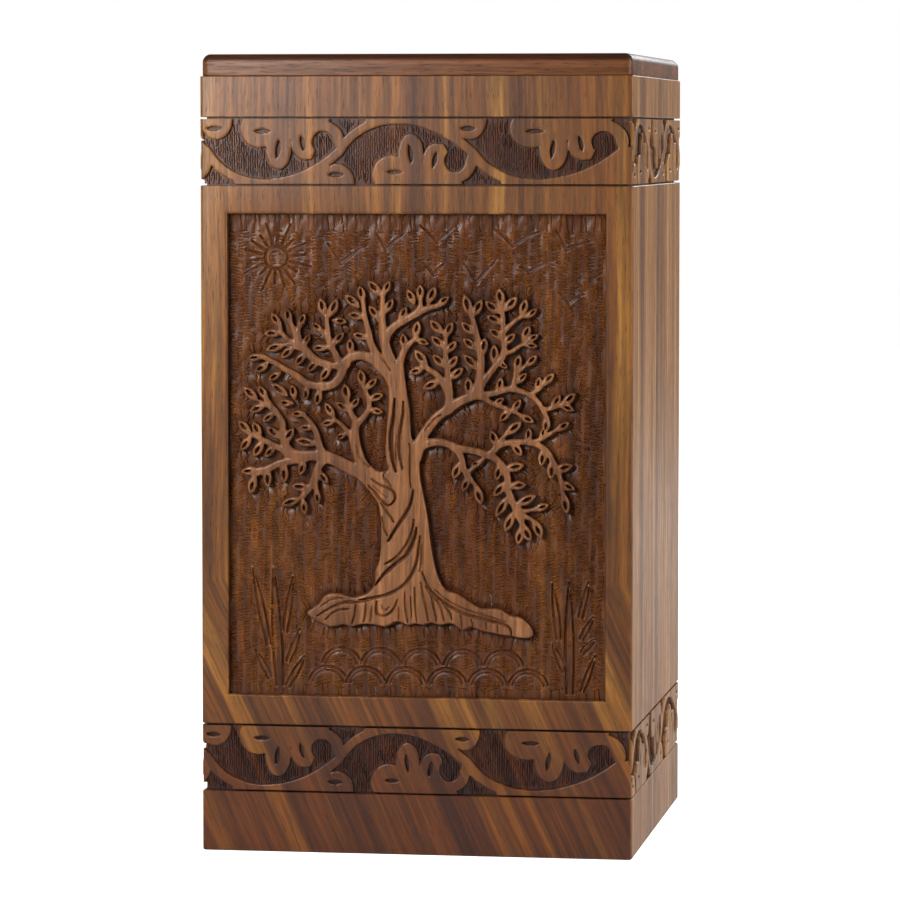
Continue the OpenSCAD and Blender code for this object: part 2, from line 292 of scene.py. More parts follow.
def rosewood_group():
    tree, start, end = group_tree(
        "rosewood_figure",
        [("Place", "NodeSocketVector", None),
         ("Lean", "NodeSocketFloat", 0.0),
         ("Shift", "NodeSocketFloat", 0.0),
         ("Dark", "NodeSocketColor", (0.05, 0.02, 0.01, 1)),
         ("Middle", "NodeSocketColor", (0.2, 0.09, 0.04, 1)),
         ("Light", "NodeSocketColor", (0.4, 0.2, 0.08, 1)),
         ("Pores", "NodeSocketFloat", 0.5)],
        [("Colour", "NodeSocketColor"), ("Fibre", "NodeSocketFloat"), ("Height", "NodeSocketFloat")])
    parts = put(tree, "ShaderNodeSeparateXYZ", {0: start.outputs["Place"]})
    x, y, z = parts.outputs
    # the grain leans where the board was sawn near the root
    below = sums(tree, "MAXIMUM", sums(tree, "SUBTRACT", LEAN_BELOW, z), 0.0)
    x = sums(tree, "SUBTRACT", x, sums(tree, "MULTIPLY", below, start.outputs["Lean"]))
    waver = stretched_noise(tree, x, y, z, 14.0, 0.5, 1.0)
    x = sums(tree, "ADD", x, sums(tree, "MULTIPLY", sums(tree, "SUBTRACT", waver, 0.5), 0.006))
    x = sums(tree, "ADD", x, start.outputs["Shift"])
    figure = stretched_noise(tree, x, y, z, 55.0, 0.05, 2.0)
    band = stretched_noise(tree, x, y, z, 120.0, 0.03, 2.0, 3.0)
    streak = stretched_noise(tree, x, y, z, 420.0, 0.025, 3.0, 7.0)
    fibre = stretched_noise(tree, x, y, z, 950.0, 0.06, 2.0, 11.0)
    pore = stretched_noise(tree, x, y, z, 2100.0, 0.09, 1.0, 17.0)
    colour = blended(tree, ramp(tree, figure, 0.32, 0.6), start.outputs["Dark"], start.outputs["Middle"])
    colour = blended(tree, ramp(tree, band, 0.5, 0.72), colour, start.outputs["Light"])
    colour = blended(tree, 1.0, colour, grey(tree, ramp(tree, streak, 0.35, 0.62, 0.62, 1.08)), "MULTIPLY")
    colour = blended(tree, 1.0, colour, grey(tree, ramp(tree, fibre, 0.3, 0.7, 0.7, 1.16)), "MULTIPLY")
    open_pore = ramp(tree, pore, 0.6, 0.72)
    shade = sums(tree, "SUBTRACT", 1.0, sums(tree, "MULTIPLY", open_pore, start.outputs["Pores"]))
    colour = blended(tree, 1.0, colour, grey(tree, shade), "MULTIPLY")
    height = sums(tree, "SUBTRACT", sums(tree, "MULTIPLY", fibre, 0.6), open_pore)
    tree.links.new(colour, end.inputs["Colour"])
    tree.links.new(fibre, end.inputs["Fibre"])
    tree.links.new(height, end.inputs["Height"])
    return tree


# %% Node group: how deep a point lies in the carving
def depth_group():
    """Depth under the nearest wall face, as a mask from From to To (millimetres)."""
    tree, start, end = group_tree(
        "cut_depth",
        [("Place", "NodeSocketVector", None),
         ("From", "NodeSocketFloat", 0.5),
         ("To", "NodeSocketFloat", 2.0)],
        [("Sunk", "NodeSocketFloat")])
    parts = put(tree, "ShaderNodeSeparateXYZ", {0: start.outputs["Place"]})
    out_x = sums(tree, "ABSOLUTE", parts.outputs[0])
    out_y = sums(tree, "ABSOLUTE", parts.outputs[1])
    depth = sums(tree, "SUBTRACT", HALF_W * MM, sums(tree, "MAXIMUM", out_x, out_y))
    depth = sums(tree, "DIVIDE", depth, MM)
    sunk = ramp(tree, depth, start.outputs["From"], start.outputs["To"])
    tree.links.new(sunk, end.inputs["Sunk"])
    return tree


FIGURE = rosewood_group()
DEPTH = depth_group()
print("groups", FIGURE.name, DEPTH.name)


# %% Wood materials
PORE_DEPTH = 0.00012     # metres
# painted shade for the top board's upper rounded edge, which turns up away from the lamps
ROLLED_EDGE_SHADE = (0.4, 0.3, 0.22)
# partly painted shade where the key's light falls off toward the foot, partly the foot's darker wood
FOOT_SHADE_AND_WOOD_TONE = (0.6, 0.42, 0.22)


def toned(tree, factor, colour, tone):
    """A colour multiplied by a tone where factor is 1."""
    return blended(tree, factor, colour, blended(tree, 1.0, colour, (*tone, 1), "MULTIPLY"))


def wood(name, dark, middle, light, lean=0.0, shift=0.0, pores=0.5, lying=False, sunk=(0.6, 1.5),
         shade_and_stain=(0.36, 0.25, 0.2), gloss=0.42, coat=0.25, shade_above=None, dark_foot=None):
    """Lacquered wood: figure, painted shade and darker finish in the sunk ground, fine pores and a satin
    coat.
    """
    material = bpy.data.materials.new(name)
    material.use_nodes = True
    tree = material.node_tree
    shader = tree.nodes["Principled BSDF"]
    place = put(tree, "ShaderNodeTexCoord").outputs["Object"]
    grain = place
    if lying:
        quarter = (0, math.radians(90), 0)
        grain = put(tree, "ShaderNodeMapping", {"Vector": place, "Rotation": quarter}).outputs[0]
    figure = put(tree, "ShaderNodeGroup", {}, node_tree=FIGURE)
    tree.links.new(grain, figure.inputs["Place"])
    for label, value in (("Lean", lean), ("Shift", shift), ("Pores", pores)):
        figure.inputs[label].default_value = value
    for label, value in (("Dark", dark), ("Middle", middle), ("Light", light)):
        figure.inputs[label].default_value = (*value, 1)
    depth = put(tree, "ShaderNodeGroup", {}, node_tree=DEPTH)
    tree.links.new(place, depth.inputs["Place"])
    depth.inputs["From"].default_value, depth.inputs["To"].default_value = sunk
    # painted shade in the cut recesses: the deeper a point lies under the face, the darker it is, together
    # with the darker finish gathered there
    colour = toned(tree, depth.outputs["Sunk"], figure.outputs["Colour"], shade_and_stain)
    height = put(tree, "ShaderNodeSeparateXYZ", {0: place}).outputs[2]
    # painted shade: the rounded edge above this height is darkened
    if shade_above:
        rolled_over = ramp(tree, height, shade_above[0] * MM, shade_above[1] * MM)
        colour = toned(tree, rolled_over, colour, ROLLED_EDGE_SHADE)
    # darker towards the foot: painted shade of the light falling off there, with the foot's darker wood
    if dark_foot:
        low_down = ramp(tree, height, dark_foot[0] * MM, dark_foot[1] * MM, 1.0, 0.0)
        colour = toned(tree, low_down, colour, FOOT_SHADE_AND_WOOD_TONE)
    tree.links.new(colour, shader.inputs["Base Color"])
    rough = ramp(tree, figure.outputs["Fibre"], 0.3, 0.7, gloss + 0.08, gloss - 0.06)
    tree.links.new(rough, shader.inputs["Roughness"])
    pitted = figure.outputs["Height"]
    bump = put(tree, "ShaderNodeBump", {"Strength": 0.8, "Distance": PORE_DEPTH, "Height": pitted})
    tree.links.new(bump.outputs[0], shader.inputs["Normal"])
    shader.inputs["Coat Weight"].default_value = coat
    shader.inputs["Coat Roughness"].default_value = 0.3
    shader.inputs["Specular IOR Level"].default_value = 0.2
    return material


# dark, middle and light wood
FACE_COLOURS = ((0.11, 0.033, 0.005), (0.2, 0.068, 0.01), (0.34, 0.145, 0.025))
SIDE_COLOURS = ((0.17, 0.06, 0.012), (0.34, 0.145, 0.04), (0.5, 0.26, 0.09))
TOP_COLOURS = ((0.07, 0.022, 0.006), (0.17, 0.058, 0.016), (0.26, 0.1, 0.03))
GROUND_COLOURS = ((0.19, 0.058, 0.012), (0.23, 0.075, 0.016), (0.29, 0.105, 0.02))
TREE_COLOURS = ((0.17, 0.06, 0.019), (0.27, 0.105, 0.036), (0.35, 0.15, 0.055))
BASE_COLOURS = ((0.15, 0.08, 0.04), (0.26, 0.14, 0.07), (0.38, 0.22, 0.11))
NO_DEPTH = (1000, 1001)  # a depth that nothing reaches, for boards without carving

FRONT_WOOD = wood("rosewood_front", *FACE_COLOURS, lean=0.45, coat=0.4, dark_foot=(15, 90))
WALL_WOOD = wood("rosewood_walls", *SIDE_COLOURS, shift=0.37, coat=0.25, gloss=0.45)
TOP_WOOD = wood("rosewood_top", *TOP_COLOURS, lying=True, shift=0.2, coat=0.12, sunk=(20, 30),
                shade_above=(WALL_H + 4.6, WALL_H + 6))
# the ground's painted recess shade falls in the gaps between the gouge marks and in the trough beside the
# tree
GROUND_WOOD = wood("carved_ground", *GROUND_COLOURS, shift=0.05, sunk=(3.35, 4.15),
                   shade_and_stain=(0.4, 0.33, 0.28), pores=0.1, gloss=0.38, coat=0.25)
TREE_WOOD = wood("carved_tree", *TREE_COLOURS, shift=0.11, sunk=(1.1, 2.4),
                 shade_and_stain=(0.26, 0.17, 0.12), pores=0.3)
BASE_WOOD = wood("base_wood", *BASE_COLOURS, lying=True, coat=0.1, gloss=0.5, sunk=NO_DEPTH)


# %% Brass for the base screws
def brass():
    material = bpy.data.materials.new("screw_brass")
    material.use_nodes = True
    tree = material.node_tree
    shader = tree.nodes["Principled BSDF"]
    place = put(tree, "ShaderNodeTexCoord").outputs["Object"]
    cloud = put(tree, "ShaderNodeTexNoise", {"Vector": place, "Scale": 900.0, "Detail": 3.0}).outputs["Fac"]
    colour = blended(tree, ramp(tree, cloud, 0.4, 0.65), (0.6, 0.42, 0.16, 1), (0.33, 0.22, 0.1, 1))
    tree.links.new(colour, shader.inputs["Base Color"])
    tree.links.new(ramp(tree, cloud, 0.3, 0.7, 0.28, 0.5), shader.inputs["Roughness"])
    shader.inputs["Metallic"].default_value = 1.0
    return material


BRASS = brass()
print("materials", [m.name for m in bpy.data.materials])

# %% [markdown]
# ## The four wall boards
#
# Each board is one loft: a closed loop round the board's plan, repeated at every height
# where the outer face steps in or out.  The loop carries the rounded arris at both mitres,
# so the saw lines and the sunk bands run cleanly round the corner.

# %% Loops of one board
ARC_STEPS = 6
EDGE = 0.25              # small round where the saw leaves the face


def outer_run(depth, stops):
    """Plan points of the outer face from mitre to mitre, at one depth."""
    right = []
    for k in range(ARC_STEPS + 1):
        turn = math.radians(45 * k / ARC_STEPS)
        radius = ARRIS_R - depth
        if radius > 0.05:
            x, y = radius * math.sin(turn), radius * math.cos(turn)
            right.append((HALF_W - ARRIS_R + x, ARRIS_R - HALF_W - y))
        else:
            right.append((HALF_W - depth - 0.02 * (ARC_STEPS - k), depth - HALF_W))
    left = [(-x, y) for x, y in reversed(right)]
    return left + [(x, right[0][1]) for x in stops] + right


def face_rows(sunk_bands):
    """Heights and depths of the outer face, from the foot up."""
    rows = [(0, 0.6), (0.2, 0.2), (0.6, 0)]
    for band in (LOW_BAND, HIGH_BAND):
        floor = BAND_DEPTH if sunk_bands else 0
        low, high = band - SAW_W / 2, band + SAW_W / 2
        rows += [(low - EDGE, 0), (low, EDGE), (low, SAW_DEPTH), (high, SAW_DEPTH)]
        rows += [(high, floor)] if sunk_bands else [(high, EDGE), (high + EDGE, 0)]
        low, high = low + BAND_H, high + BAND_H
        rows += [(low, floor)] if sunk_bands else [(low - EDGE, 0), (low, EDGE)]
        rows += [(low, SAW_DEPTH), (high, SAW_DEPTH), (high, EDGE), (high + EDGE, 0)]
    return rows + [(WALL_H - EDGE, 0), (WALL_H, EDGE)]


def board(rows, stops=(), opening=None):
    """Points and faces of one board; opening is (low row, rim loops)."""
    inner_rows = [(z, depth, REBATE_HALF) for z, depth in rows if z < REBATE_H]
    inner_rows += [(REBATE_H, 0, REBATE_HALF), (REBATE_H + 0.01, 0, HALF_W - WALL_T)]
    inner_rows += [(z, depth, HALF_W - WALL_T) for z, depth in rows if z > REBATE_H]
    points, faces = [], []
    for z, depth, inner in inner_rows:
        points += [(x, y, z) for x, y in outer_run(depth, stops)] + [(inner, -inner, z), (-inner, -inner, z)]
    around = len(outer_run(0, stops)) + 2
    heights = [row[0] for row in inner_rows]
    for i in range(len(inner_rows) - 1):
        for k in range(around):
            a, b = i * around + k, i * around + (k + 1) % around
            if opening and heights[i] == opening[0] and k == ARC_STEPS + 1:
                rim = [a, b, b + around, a + around]
                continue
            faces.append((a, b, b + around, a + around))
    faces.append(tuple(range(around))[::-1])
    faces.append(tuple(range((len(inner_rows) - 1) * around, len(inner_rows) * around)))
    for loop in (opening[1] if opening else []):
        start = len(points)
        points += loop
        new = [start + k for k in range(4)]
        faces += [(rim[k], rim[(k + 1) % 4], new[(k + 1) % 4], new[k]) for k in range(4)]
        rim = new
    if opening:
        faces.append(tuple(rim))
    return points, faces


# %% Front board: the frame round the sunk panel
RIM_R = 1.1              # round on the frame's inner edge
RIM_STEPS = 5
PANEL_BED = PANEL_DEPTH + 0.9


def panel_loop(out, depth):
    """Corners of the panel's rectangle, grown by out, at one depth."""
    x, low, high, y = PANEL_HALF + out, PANEL_Z - out, PANEL_Z + PANEL_H + out, depth - HALF_W
    return [(-x, y, low), (x, y, low), (x, y, high), (-x, y, high)]


def front_board():
    rows = face_rows(True)
    rows += [(PANEL_Z - RIM_R, 0), (PANEL_Z + PANEL_H + RIM_R, 0)]
    rows.sort(key=lambda row: row[0])
    rim = []
    for k in range(1, RIM_STEPS + 1):
        turn = math.radians(90 * k / RIM_STEPS)
        rim.append(panel_loop(RIM_R * (1 - math.sin(turn)), RIM_R * (1 - math.cos(turn))))
    rim.append(panel_loop(0, PANEL_BED))
    edge = PANEL_HALF + RIM_R
    points, faces = board(rows, (-edge, edge), (PANEL_Z - RIM_R, rim))
    return make_piece("front_frame", points, faces, FRONT_WOOD, "front_board", "rosewood_front")


front_board()
for name, wall in (("left", LEFT), ("right", RIGHT)):
    points, faces = board(face_rows(True))
    make_piece(name + "_wall", points, faces, WALL_WOOD, name + "_board", "rosewood_walls", wall=wall)
make_piece("back_wall", *board(face_rows(False)), WALL_WOOD, "back_board", "rosewood_walls", wall=BACK)

# %% [markdown]
# ## The top board
#
# A flat board with a soft round along its upper edge and at its corners.  It is lofted
# from rounded squares that shrink as the edge rolls over.

# %% Top board
TOP_ROUND = 3.0
TOP_EASE = 0.3           # small bevel on the lower edge
CORNER_STEPS = 6
ROUND_STEPS = 8


def rounded_square(half, radius, z):
    """Closed loop of a square with round corners."""
    loop = []
    for corner, (sx, sy) in enumerate(((1, -1), (1, 1), (-1, 1), (-1, -1))):
        for k in range(CORNER_STEPS + 1):
            turn = math.radians(90 * corner - 90 + 90 * k / CORNER_STEPS)
            x, y = radius * math.cos(turn), radius * math.sin(turn)
            loop.append((sx * (half - radius) + x, sy * (half - radius) + y, z))
    return loop


def top_board():
    loops = [rounded_square(TOP_HALF - TOP_EASE, TOP_ROUND - TOP_EASE, WALL_H),
             rounded_square(TOP_HALF, TOP_ROUND, WALL_H + TOP_EASE)]
    for k in range(ROUND_STEPS + 1):
        turn = math.radians(90 * k / ROUND_STEPS)
        inset = TOP_ROUND * (1 - math.cos(turn))
        radius = max(TOP_ROUND - inset, 0.05)
        z = WALL_H + TOP_T - TOP_ROUND * (1 - math.sin(turn))
        loops.append(rounded_square(TOP_HALF - inset, radius, z))
    points = [point for loop in loops for point in loop]
    around = len(loops[0])
    faces = []
    for i in range(len(loops) - 1):
        for k in range(around):
            a, b = i * around + k, i * around + (k + 1) % around
            faces.append((a, b, b + around, a + around))
    faces.append(tuple(range(around))[::-1])
    faces.append(tuple(range((len(loops) - 1) * around, len(loops) * around)))
    return make_piece("top_slab", points, faces, TOP_WOOD, "top_board", "rosewood_top", crease=40)


top_board()
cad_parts["base_panel"].data.materials[0] = BASE_WOOD
for k in range(1, 5):
    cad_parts[f"base_screw_{k}"].data.materials[0] = BRASS

# %% [markdown]
# ## Relief from distances
#
# The carved shapes are described by their signed distance: negative inside, positive
# outside, in millimetres.  Strokes are tapered lines, lobes are ellipses, and a union is
# the smaller distance.  A lattice over the face is then cut off along distance zero, and
# the points inside rise with a rounded shoulder, as a carver rolls the edge over.


# %% Distances
def along(x, z, points, half_widths):
    """Distance to a line of points, and the half width at the nearest place on it."""
    best = np.full(np.broadcast(x, z).shape, 1e9)
    half = np.zeros_like(best)
    for (a, b), (ra, rb) in zip(zip(points[:-1], points[1:]), zip(half_widths[:-1], half_widths[1:])):
        d = b - a
        t = np.clip(((x - a[0]) * d[0] + (z - a[1]) * d[1]) / max(d @ d, 1e-9), 0, 1)
        gap = np.hypot(x - a[0] - t * d[0], z - a[1] - t * d[1])
        radius = ra + (rb - ra) * t
        closer = gap - radius < best - half
        best = np.where(closer, gap, best)
        half = np.where(closer, radius, half)
    return best, half


def ellipse(x, z, centre, rx, rz, turn=0.0):
    """Signed distance to an ellipse, near enough for carving."""
    c, s = math.cos(math.radians(turn)), math.sin(math.radians(turn))
    u, v = c * (x - centre[0]) + s * (z - centre[1]), c * (z - centre[1]) - s * (x - centre[0])
    near = np.hypot(u / rx, v / rz)
    return near * (near - 1) / np.maximum(np.hypot(u / rx**2, v / rz**2), 1e-9)


def lens(x, z, centre, length, width, turn):
    """Signed distance to a pointed lens, the crossing of two discs."""
    c, s = math.cos(math.radians(turn)), math.sin(math.radians(turn))
    u, v = c * (x - centre[0]) + s * (z - centre[1]), c * (z - centre[1]) - s * (x - centre[0])
    radius = (length**2 + width**2) / (4 * width)
    shift = radius - width / 2
    return np.maximum(np.hypot(u, v + shift), np.hypot(u, v - shift)) - radius


def polygon(x, z, corners):
    """Signed distance to a closed outline."""
    corners = np.asarray(corners, float)
    best = np.full(np.broadcast(x, z).shape, 1e9)
    inside = np.zeros(best.shape, bool)
    for a, b in zip(corners, np.roll(corners, -1, 0)):
        d = b - a
        t = np.clip(((x - a[0]) * d[0] + (z - a[1]) * d[1]) / max(d @ d, 1e-9), 0, 1)
        best = np.minimum(best, np.hypot(x - a[0] - t * d[0], z - a[1] - t * d[1]))
        crosses = (a[1] > z) != (b[1] > z)
        where = a[0] + (z - a[1]) * d[0] / (d[1] if d[1] else 1e-9)
        inside ^= crosses & (x < where)
    return np.where(inside, -best, best)


def soft_union(a, b, reach):
    """Smaller of two distances, with a fillet where they meet."""
    h = np.maximum(reach - np.abs(a - b), 0) / reach
    return np.minimum(a, b) - h * h * reach / 4


# %% A lattice cut off along an outline
def cut_sheet(xs, zs, inside):
    """Triangles of the lattice where inside < 0, cut along inside = 0."""
    nx, nz = len(xs), len(zs)
    field = inside.ravel()
    corner = np.arange(nx * nz).reshape(nx, nz)
    a, b, c, d = corner[:-1, :-1], corner[1:, :-1], corner[1:, 1:], corner[:-1, 1:]
    flip = (np.add.outer(np.arange(nx - 1), np.arange(nz - 1)) % 2).astype(bool)
    tris = np.concatenate([
        np.stack([a, b, c], -1)[~flip], np.stack([a, c, d], -1)[~flip],
        np.stack([a, b, d], -1)[flip], np.stack([b, c, d], -1)[flip]])
    within = (field[tris] < 0).sum(1)
    whole = tris[within == 3]
    one = tris[within == 1]
    one = one[np.arange(len(one))[:, None], (np.argmin(field[one], 1)[:, None] + [0, 1, 2]) % 3]
    two = tris[within == 2]
    two = two[np.arange(len(two))[:, None], (np.argmax(field[two], 1)[:, None] + [0, 1, 2]) % 3]
    total = nx * nz
    cuts = np.concatenate([one[:, [0, 1]], one[:, [0, 2]], two[:, [0, 1]], two[:, [0, 2]]])
    keys, which = np.unique(cuts.min(1) * total + cuts.max(1), return_inverse=True)
    low, high = keys // total, keys % total
    t = field[low] / (field[low] - field[high])
    flat = np.stack(np.meshgrid(xs, zs, indexing="ij"), -1).reshape(-1, 2)
    flat = np.concatenate([flat, flat[low] + (flat[high] - flat[low]) * t[:, None]])
    depth_in = np.concatenate([np.maximum(-field, 0), np.zeros(len(keys))])
    n1, n2 = len(one), len(two)
    which = which + total
    e1, e2, f1, f2 = which[:n1], which[n1:2 * n1], which[2 * n1:2 * n1 + n2], which[2 * n1 + n2:]
    faces = np.concatenate([
        whole, np.stack([one[:, 0], e1, e2], 1),
        np.stack([f1, two[:, 1], two[:, 2]], 1), np.stack([f1, two[:, 2], f2], 1)])
    used, faces = np.unique(faces, return_inverse=True)
    return flat[used], depth_in[used], faces.reshape(-1, 3)


def closed_below(points, faces, foot_points):
    """Walls from the sheet's open edges down to its copy at the foot, and the copy itself."""
    count = len(points)
    edges = np.concatenate([faces[:, [0, 1]], faces[:, [1, 2]], faces[:, [2, 0]]])
    keys = edges.min(1) * count + edges.max(1)
    _, first, times = np.unique(keys, return_index=True, return_counts=True)
    open_edges = edges[first[times == 1]]
    u, v = open_edges.T
    walls = np.stack([v, u, u + count, v + count], 1)
    bottom = faces[:, ::-1] + count
    return np.concatenate([points, foot_points]), faces.tolist() + walls.tolist() + bottom.tolist()


def filled_below(points, faces, foot_y):
    """Walls from the sheet's open edges down to foot_y, and the outline filled there."""
    count = len(points)
    edges = np.concatenate([faces[:, [0, 1]], faces[:, [1, 2]], faces[:, [2, 0]]])
    keys = edges.min(1) * count + edges.max(1)
    _, first, times = np.unique(keys, return_index=True, return_counts=True)
    open_edges = edges[first[times == 1]]
    rim = np.unique(open_edges)
    new = np.full(count, -1)
    new[rim] = np.arange(len(rim))
    flat = bmesh.new()
    dots = [flat.verts.new((x, 0, z)) for x, _, z in points[rim]]
    for a, b in new[open_edges]:
        flat.edges.new((dots[a], dots[b]))
    flat.verts.index_update()
    bmesh.ops.triangle_fill(flat, use_beauty=False, use_dissolve=False, edges=flat.edges[:])
    cap = np.array([[v.index for v in face.verts] for face in flat.faces])
    flat.free()
    x, z = points[rim, 0][cap], points[rim, 2][cap]
    area = (x[:, 1] - x[:, 0]) * (z[:, 2] - z[:, 0]) - (x[:, 2] - x[:, 0]) * (z[:, 1] - z[:, 0])
    cap[area > 0] = cap[area > 0][:, ::-1]
    foot = points[rim].copy()
    foot[:, 1] = foot_y
    u, v = open_edges.T
    walls = np.stack([v, u, new[u] + count, new[v] + count], 1)
    return np.concatenate([points, foot]), faces.tolist() + walls.tolist() + (cap + count).tolist()


def rolled(depth_in, shoulder):
    """0 at the outline, rising as a quarter round to 1 at shoulder inside it."""
    return np.sqrt(1 - (1 - np.clip(depth_in / shoulder, 0, 1)) ** 2)


# %% [markdown]
# ## The scroll
#
# A vine waves from edge to edge of the band.  Each half wave holds a palmette: three
# lobes, a curl that opens at one end, and lens-shaped slits cut with one push of a gouge.
# The half wave is drawn once and repeated, turned over each time.

# %% The scroll's sizes
WAVE_L, WAVE_H, VINE_W = 48.75, 24.3, 3.4
VINE = np.array([[0, 0], [9, -15.5], [32, -15.5], [WAVE_L, 0]])
CURL = (42.6, 3.4)
CURL_IN, CURL_OUT = 3.9, 8
END_LOBE_SHIFT = 4
# solid wood after the front's last curl, and the place past which no half wave starts there
PLAIN_END = [(30, -14), (70, -14), (70, 3), (53.5, 2.6), (48, 0.5), (40, -6)]
FRONT_END = 70
LOW_RUN = [-127, -78, -28.5, 18.5, 75, 124]
HIGH_RUN = [-126, -77, -28, 20.5, 75.5, 124]


def cubic(p, t):
    t = np.asarray(t)[:, None]
    return (1 - t) ** 3 * p[0] + 3 * t * (1 - t) ** 2 * p[1] + 3 * t * t * (1 - t) * p[2] + t**3 * p[3]


def half_wave(x, z, lobe_shift, plain_end):
    """Signed distance to one half wave of the scroll."""
    top = WAVE_H / 2 + 1
    vine = cubic(VINE, np.linspace(0, 1, 17))
    gap, half = along(x, z, vine, [VINE_W / 2] * len(vine))
    under = np.concatenate([vine[4:16], [[vine[15][0], -top], [vine[4][0] + 1, -top]]])
    stem = np.minimum(gap - half, polygon(x, z, under))
    stem = np.minimum(stem, ellipse(x, z, (48.2 + lobe_shift, -11.6), 6, 7.3))
    stem = np.maximum(stem, -lens(x, z, (47.4 + lobe_shift, -8.4), 5.8, 1.5, 0))
    if plain_end:
        stem = np.minimum(stem, polygon(x, z, PLAIN_END))
    leaf = polygon(x, z, [(13, top), (46, top), (44, 8), (36, 4), (24, 4), (15, 6)])
    lobes = (((19.3, 8.3), 7, 7), ((26.5, 1.6), 4.7, 8.3), ((36, 2.6), 4.9, 5.7), (CURL, CURL_OUT, CURL_OUT))
    for centre, rx, rz in lobes:
        leaf = np.minimum(leaf, ellipse(x, z, centre, rx, rz))
    leaf = np.maximum(leaf, -ellipse(x, z, CURL, CURL_IN, CURL_IN))
    mouth = [(-1.2, 0), (CURL_IN, 0), (5, -3), (3.4, -CURL_OUT - 1), (-9, -CURL_OUT - 1), (-4, -6)]
    leaf = np.maximum(leaf, -polygon(x, z, [(CURL[0] + a, CURL[1] + b) for a, b in mouth]))
    for centre, length, turn in (((20.5, 7.4), 5.6, 0), ((26.2, 0.9), 7, 82), ((35.2, 3), 5.8, 102)):
        leaf = np.maximum(leaf, -lens(x, z, centre, length, 1.5, turn))
    return np.minimum(stem, leaf)


def scroll(x, z, run, flip):
    """Signed distance to the whole scroll; flip says which half waves arch."""
    made = np.full(np.broadcast(x, z).shape, 1e9)
    for i, (start, stop) in enumerate(zip(run[:-1], run[1:])):
        if start > FRONT_END and flip == 0:
            break
        local = (x - start) * WAVE_L / (stop - start)
        side = -1 if (i + flip) % 2 == 0 else 1
        plain_end = flip == 0 and stop > FRONT_END
        made = np.minimum(made, half_wave(local, z * side, END_LOBE_SHIFT if i == 0 else 0, plain_end))
    return made


# %% Carve the scroll on three walls
SCROLL_STEP = 0.4
SCROLL_ROLL = 0.35
FOOT_SINK = 0.3          # how far a relief's foot reaches into the board


def face_y(x):
    """Place of the outer face, with its arris rounded off."""
    past = np.maximum(np.abs(x) - (HALF_W - ARRIS_R), 0)
    return -(HALF_W - ARRIS_R) - np.sqrt(np.maximum(ARRIS_R**2 - past**2, 0))


def scroll_lattice(band):
    """Columns and rows of the lattice over one band."""
    flat = HALF_W - ARRIS_R
    arc = flat + ARRIS_R * np.sin(np.radians(np.linspace(0, 45, 5)))
    xs = np.concatenate([-arc[::-1], np.linspace(-flat, flat, round(2 * flat / SCROLL_STEP) + 1)[1:-1], arc])
    low, high = band + SAW_W / 2, band + BAND_H - SAW_W / 2
    return xs, np.linspace(low, high, round((high - low) / SCROLL_STEP) + 1)


def carve_scroll(name, wall, node, material, slot, flip):
    """Both bands of one wall as one piece that stands on the sunk ground."""
    points, faces = np.zeros((0, 3)), []
    for band, run in ((LOW_BAND, LOW_RUN), (HIGH_BAND, HIGH_RUN)):
        xs, zs = scroll_lattice(band)
        inside = scroll(xs[:, None], (zs[None, :] - band - BAND_H / 2) * WAVE_H / BAND_H, run, flip)
        flat, depth_in, tris = cut_sheet(xs, zs, inside)
        y = face_y(flat[:, 0]) + SCROLL_ROLL * (1 - rolled(depth_in, SCROLL_ROLL))
        sheet = np.stack([flat[:, 0], y, flat[:, 1]], 1)
        foot = sheet.copy()
        foot[:, 1] = BAND_DEPTH + FOOT_SINK - HALF_W
        foot[:, 0] = np.clip(foot[:, 0], foot[:, 1], -foot[:, 1])
        sheet, shape = closed_below(sheet, tris, foot)
        faces += [tuple(i + len(points) for i in face) for face in shape]
        points = np.concatenate([points, sheet])
    return make_piece(name, points, faces, material, node, slot, wall=wall, crease=50)


carve_scroll("front_scroll", FRONT, "front_board", FRONT_WOOD, "rosewood_front", 0)
carve_scroll("left_scroll", LEFT, "left_board", WALL_WOOD, "rosewood_walls", 1)
carve_scroll("right_scroll", RIGHT, "right_board", WALL_WOOD, "rosewood_walls", 1)

# %% [markdown]
# ## The tree
#
# The tree stands up from the panel's own wood.  It could be sculpted, or swept along
# curves, but a carved tree is one flat-topped relief: its limbs keep a level top and run
# into each other with small fillets.  Signed distances give just that.  The trunk with its
# roots is one outline, a limb is a row of points with a width at its root and at its tip,
# and a leaf is a line from its stalk to its point.  Soft unions join all three.

# %% Trunk and roots
# x from the panel's middle, z from its sill
TRUNK = [
    (-8.5, 121), (-10.2, 117), (-10.1, 110), (-10.3, 104), (-11, 96), (-11.3, 90), (-10.8, 85.5),
    (-10.4, 83), (-14.8, 82), (-19, 84), (-21, 80), (-17.2, 75.2), (-14.2, 71), (-13, 66), (-12.8, 58),
    (-13.5, 50), (-15.2, 45.5), (-15.2, 41.7), (-17.5, 38.2), (-22.5, 36.4), (-26.7, 37.2),
    (-30.3, 37.8), (-33.9, 36.7), (-36, 33.8), (-40.5, 30.4), (-38.5, 28.5), (-36, 27), (-31.7, 25.2),
    (-27, 26.2), (-24, 25.4), (-20, 26.4), (-15, 26.2), (-11, 25.6), (-7, 27.6), (-3, 26.3), (0, 27),
    (2.6, 26.4), (5.5, 27.3), (9, 26.5), (13, 27.2), (17, 24.9), (20.5, 26), (24, 24.7), (29.7, 23.6),
    (35.4, 22.8), (40, 22.2), (43, 23), (42.3, 26.3), (38.6, 29.6), (34.7, 30.4), (30, 33), (24, 32.9),
    (19.7, 35.3), (15.4, 38), (10.6, 39.8), (8, 44.5), (6.5, 50), (5.2, 58), (4.6, 63.6), (3.7, 69),
    (2.6, 74.7), (1.5, 80), (1.3, 86), (2, 91), (-1.2, 93.5), (-2.1, 100), (-2.4, 105), (-3.2, 110),
    (-4.2, 117), (-5.5, 121),
]

